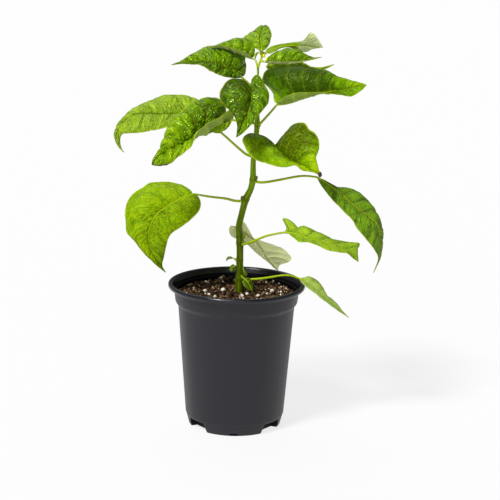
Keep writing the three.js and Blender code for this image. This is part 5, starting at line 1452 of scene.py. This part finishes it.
class CHILLI_OT_pot(bpy.types.Operator):
    """Make the round plastic nursery pot with its rolled rim and drain notches"""
    bl_idname = "chilli.pot"
    bl_label = "Pot"

    def execute(self, context):
        s = context.scene.chilli_pot
        piece = turned_pot().piece("pot_moulded", [pot_plastic(s), pot_inside_shade(s)])
        outward(piece.data)
        cutter = notch_cutter()
        outward(cutter.data)
        cut = piece.modifiers.new("foot", "BOOLEAN")
        cut.object = cutter
        cut.operation = "DIFFERENCE"
        cut.solver = "EXACT"
        cut.use_self = True
        soften = piece.modifiers.new("soft edges", "BEVEL")
        soften.width = SOFT_EDGE * MM
        soften.segments = 2
        soften.limit_method = "ANGLE"
        soften.angle_limit = math.radians(SOFT_ANGLE)
        graph = bpy.context.evaluated_depsgraph_get()
        mesh = bpy.data.meshes.new_from_object(piece.evaluated_get(graph))
        piece.modifiers.clear()
        piece.data = mesh
        bpy.data.objects.remove(cutter)
        mesh.polygons.foreach_set("use_smooth", [True] * len(mesh.polygons))
        mesh.set_sharp_from_angle(angle=math.radians(POT_SHARP))
        settle(piece, "pot")
        return {"FINISHED"}


# ---------- Potting mix ----------
def soil_height(x, y):
    """Height of the mix's surface between the loose crumbs."""
    p = np.stack([x, y, np.zeros_like(x)], -1)
    rough = 0.9 * lumps(p, 7.0, 3) + 0.8 * np.abs(lumps(p, 3.6, 4)) + 0.45 * lumps(p, 1.7, 5)
    edge = smooth(*SOIL_EDGE, np.hypot(x, y))
    return SOIL_TOP - SOIL_SINK + SOIL_RISE * y / 50 + rough - SOIL_FALL * edge


def soil_at(x, y):
    """Height of that surface at one point."""
    return soil_height(np.array([x]), np.array([y]))[0]


def ball(sides=8, rings=6):
    """Points and faces of a ball of radius 1."""
    v = np.linspace(-0.5, 0.5, rings + 1)[1:-1] * math.pi
    u = np.arange(sides) * 2 * math.pi / sides
    points = [(0, 0, -1)]
    for a in v:
        points.extend((math.cos(a) * math.cos(b), math.cos(a) * math.sin(b), math.sin(a)) for b in u)
    points.append((0, 0, 1))
    faces = [(0, 1 + (j + 1) % sides, 1 + j) for j in range(sides)]
    faces += [tuple(k + 1 for k in face) for face in ring_faces(rings - 1, sides)]
    last = 1 + (rings - 2) * sides
    top = len(points) - 1
    faces += [(top, last + j, last + (j + 1) % sides) for j in range(sides)]
    return np.array(points, float), faces


def turn_matrix(rng):
    """A turn drawn evenly from all turns."""
    w, x, y, z = unit(rng.normal(size=4))
    return np.array([
        [1 - 2 * (y * y + z * z), 2 * (x * y - z * w), 2 * (x * z + y * w)],
        [2 * (x * y + z * w), 1 - 2 * (x * x + z * z), 2 * (y * z - x * w)],
        [2 * (x * z - y * w), 2 * (y * z + x * w), 1 - 2 * (x * x + y * y)],
    ])


def place_on_soil(rng, reach):
    """A point on the mix within this reach of the middle and clear of the stem."""
    while True:
        x, y = rng.uniform(-reach, reach, 2)
        if math.hypot(x, y) < reach and math.hypot(x - STEM_FOOT[0], y - STEM_FOOT[1]) > STEM_CLEAR:
            return x, y


def drawn_size(rng, sizes, low, high):
    """A size between two limits, drawn so that small ones are more common."""
    return sizes[0] + (sizes[1] - sizes[0]) * rng.beta(low, high)


def soil_bed():
    """The solid peat, from the pot's floor to the uneven surface."""
    angle = np.arange(SOIL_SIDES) * 2 * math.pi / SOIL_SIDES
    rings, shades = [], []
    for r, z in SOIL_SIDE:
        rings.append(np.stack([r * np.sin(angle), -r * np.cos(angle), np.full(SOIL_SIDES, z)], 1))
        shades.append(np.full(SOIL_SIDES, SIDE_SHADE))
    for r in np.linspace(SOIL_R, 0.6, SOIL_RINGS):
        x, y = r * np.sin(angle), -r * np.cos(angle)
        z = soil_height(x, y)
        rings.append(np.stack([x, y, z], 1))
        # Painted shade: the bed is darker where it lies lower, between the crumbs and where it falls
        # toward the wall, and lighter where it rises.
        shades.append(0.02 + 0.25 * smooth(-0.3, 1.8, z - SOIL_TOP))
    n = len(rings)
    faces = ring_faces(n, SOIL_SIDES)
    low, top = n * SOIL_SIDES, n * SOIL_SIDES + 1
    last = (n - 1) * SOIL_SIDES
    for j in range(SOIL_SIDES):
        k = (j + 1) % SOIL_SIDES
        faces.append((low, k, j))
        faces.append((top, last + j, last + k))
    middles = [(0, 0, SOIL_SIDE[0][1]), (0, 0, soil_at(0.0, 0.0))]
    bed = Shape()
    bed.add(np.vstack([*rings, middles]), faces, 0, shade=np.concatenate([*shades, [SIDE_SHADE] * 2]))
    return bed


def loose_crumbs(rng, count):
    """Crumbs of peat strewn over the bed."""
    crumbs = Shape()
    form, faces = ball()
    for k in range(count):
        x, y = place_on_soil(rng, CRUMB_REACH)
        size = drawn_size(rng, CRUMB_SIZES, 1.1, 4.0)
        lump = form * (1 + 0.34 * lumps(form * 1.7 + k * 3.1, 1.0, k))[:, None]
        lump = lump * rng.uniform(0.65, 1.2, 3) @ turn_matrix(rng).T * size
        z = soil_at(x, y) + size * rng.uniform(0.1, 0.6)
        crumbs.add(lump + (x, y, z), faces, 0, shade=rng.beta(1.2, 2.3))
    return crumbs


def perlite_grains(rng):
    """The listed grains of perlite, then small ones strewn between them."""
    grains = Shape()
    forms = {True: ball(14, 10), False: ball()}
    listed = list(GRAINS)
    for _ in range(SMALL_GRAINS):
        x, y = place_on_soil(rng, SMALL_GRAIN_REACH)
        listed.append((x, y, drawn_size(rng, SMALL_GRAIN_SIZES, 1.2, 2.2)))
    for k, (x, y, r) in enumerate(listed):
        big = k < len(GRAINS)
        form, faces = forms[big]
        lump = form * (1 + 0.2 * lumps(form * 1.3 + k * 2.3, 1.0, k + 9)
                       + 0.1 * lumps(form * 3.1 + k, 1.0, k + 40))[:, None]
        lump = lump * rng.uniform(0.8, 1.12, 3) @ turn_matrix(rng).T * r
        z = soil_at(x, y) + r * (0.75 if big else rng.uniform(0.4, 0.9)) + GRAIN_LIFT
        grains.add(lump + (x, y, z), faces, 0, shade=rng.uniform(0, 0.45 if big else 0.8))
    return grains


def loose_fibres(rng):
    """Thin bent fibres on the bed."""
    fibres = Shape()
    even = np.linspace(0, 1, 14)
    for _ in range(FIBRES):
        x, y = place_on_soil(rng, FIBRE_REACH)
        heading = rng.uniform(0, 2 * math.pi)
        reach = rng.uniform(*FIBRE_LENGTHS)
        bend = rng.uniform(-FIBRE_BEND, FIBRE_BEND)
        route = []
        for t in np.linspace(0, 1, 6):
            h = heading + bend * t
            px, py = x + reach * (t - 0.5) * math.cos(h), y + reach * (t - 0.5) * math.sin(h)
            if math.hypot(px, py) <= FIBRE_LIMIT:
                route.append((px, py, soil_at(px, py) + rng.uniform(0.3, 1.5)))
        if len(route) > 2:
            radii = rng.uniform(*FIBRE_SIZES) * (1 - 0.5 * np.abs(2 * even - 1))
            tube(fibres, Curve(route, (0.1, 0.2, 1), 40), even, radii, 6, 0, None,
                 shade=rng.uniform(0.35, 1.0))
    return fibres


class CHILLI_OT_potting_mix(bpy.types.Operator):
    """Make the potting mix: peat, loose crumbs, perlite grains and fibres"""
    bl_idname = "chilli.potting_mix"
    bl_label = "Potting mix"

    def execute(self, context):
        s = context.scene.chilli_soil
        earth = peat(s)
        rng = np.random.default_rng(SOIL_SEED)
        for name, shape, finish in (
                ("potting_mix_bed", soil_bed(), earth),
                ("potting_mix_crumbs", loose_crumbs(rng, s.crumbs), earth),
                ("potting_mix_perlite", perlite_grains(rng), perlite(s)),
                ("potting_mix_fibres", loose_fibres(rng), earth)):
            settle(shape.piece(name, [finish]), "potting_mix")
        return {"FINISHED"}


# ---------- Stage ----------
class CHILLI_OT_stage(bpy.types.Operator):
    """Make the floor, the soft lights and the camera"""
    bl_idname = "chilli.stage"
    bl_label = "Stage"

    def execute(self, context):
        s = context.scene.chilli_stage
        mesh = bpy.data.meshes.new("floor")
        h = FLOOR_HALF
        mesh.from_pydata([(-h, -h, 0), (h, -h, 0), (h, h, 0), (-h, h, 0)], [], [(0, 1, 2, 3)])
        floor = bpy.data.objects.new("floor", mesh)
        context.scene.collection.objects.link(floor)
        f = Finish("floor paper")
        mesh.materials.append(f.set(Base_Color=s.floor, Roughness=0.9, Specular_IOR_Level=0.1,
                                    Emission_Color=WHITE, Emission_Strength=s.glow))

        world = bpy.data.worlds.new("soft sky")
        world.use_nodes = True
        sky = world.node_tree.nodes["Background"]
        sky.inputs["Color"].default_value = WHITE
        sky.inputs["Strength"].default_value = s.sky
        context.scene.world = world

        for name, strength, (spread, tilt, turn) in (
                ("key light", s.key, KEY_LIGHT), ("fill light", s.fill, FILL_LIGHT),
                ("back light", s.back, BACK_LIGHT)):
            data = bpy.data.lights.new(name, "SUN")
            data.energy = strength
            data.angle = math.radians(spread)
            light = bpy.data.objects.new(name, data)
            light.rotation_euler = (math.radians(tilt), 0, math.radians(turn))
            context.scene.collection.objects.link(light)

        data = bpy.data.cameras.new("camera")
        data.sensor_width = CAMERA_SENSOR
        data.lens = CAMERA_LENS
        data.clip_end = CAMERA_END
        camera = bpy.data.objects.new("camera", data)
        context.scene.collection.objects.link(camera)
        pitch, roll = math.radians(CAMERA_PITCH), math.radians(CAMERA_ROLL)
        ahead = Vector((0, math.cos(pitch), -math.sin(pitch)))
        level = Vector((1, 0, 0))
        down = Vector((0, -math.sin(pitch), -math.cos(pitch)))
        right = math.cos(roll) * level - math.sin(roll) * down
        below = math.sin(roll) * level + math.cos(roll) * down
        place = Matrix((right, -below, -ahead)).transposed().to_4x4()
        place.translation = Vector(CAMERA_AT) * MM
        camera.matrix_world = place
        context.scene.camera = camera
        context.scene.view_settings.view_transform = "Standard"
        return {"FINISHED"}


# ---------- Sidebar ----------
class CHILLI_PT_sidebar(bpy.types.Panel):
    """Lists the pieces of the plant"""
    bl_label = "Chilli plant"
    bl_space_type = "VIEW_3D"
    bl_region_type = "UI"
    bl_category = "Chilli plant"

    def draw(self, context):
        for operator in STEPS:
            self.layout.operator(operator.bl_idname)
        for name in SETTINGS:
            box = self.layout.box()
            group = getattr(context.scene, name)
            for key in group.__annotations__:
                box.prop(group, key)


SETTINGS = {
    "chilli_leaf": ChilliLeafSettings,
    "chilli_stem": ChilliStemSettings,
    "chilli_pot": ChilliPotSettings,
    "chilli_soil": ChilliSoilSettings,
    "chilli_stage": ChilliStageSettings,
}
STEPS = (CHILLI_OT_pot, CHILLI_OT_potting_mix, CHILLI_OT_stem, CHILLI_OT_leaves,
         CHILLI_OT_foot_leaves, CHILLI_OT_stage)


def register():
    """Adds the settings, the operators and the panel."""
    for made in (*SETTINGS.values(), *STEPS, CHILLI_PT_sidebar):
        bpy.utils.register_class(made)
    for name, group in SETTINGS.items():
        setattr(bpy.types.Scene, name, bpy.props.PointerProperty(type=group))


def unregister():
    """Takes them away again."""
    for name in SETTINGS:
        delattr(bpy.types.Scene, name)
    for made in reversed((*SETTINGS.values(), *STEPS, CHILLI_PT_sidebar)):
        bpy.utils.unregister_class(made)


def main():
    """Makes every piece."""
    register()
    bpy.ops.chilli.pot()
    bpy.ops.chilli.potting_mix()
    bpy.ops.chilli.stem()
    bpy.ops.chilli.leaves()
    bpy.ops.chilli.foot_leaves()
    bpy.ops.chilli.stage()
    bpy.context.view_layer.update()


if __name__ == "__main__":
    main()
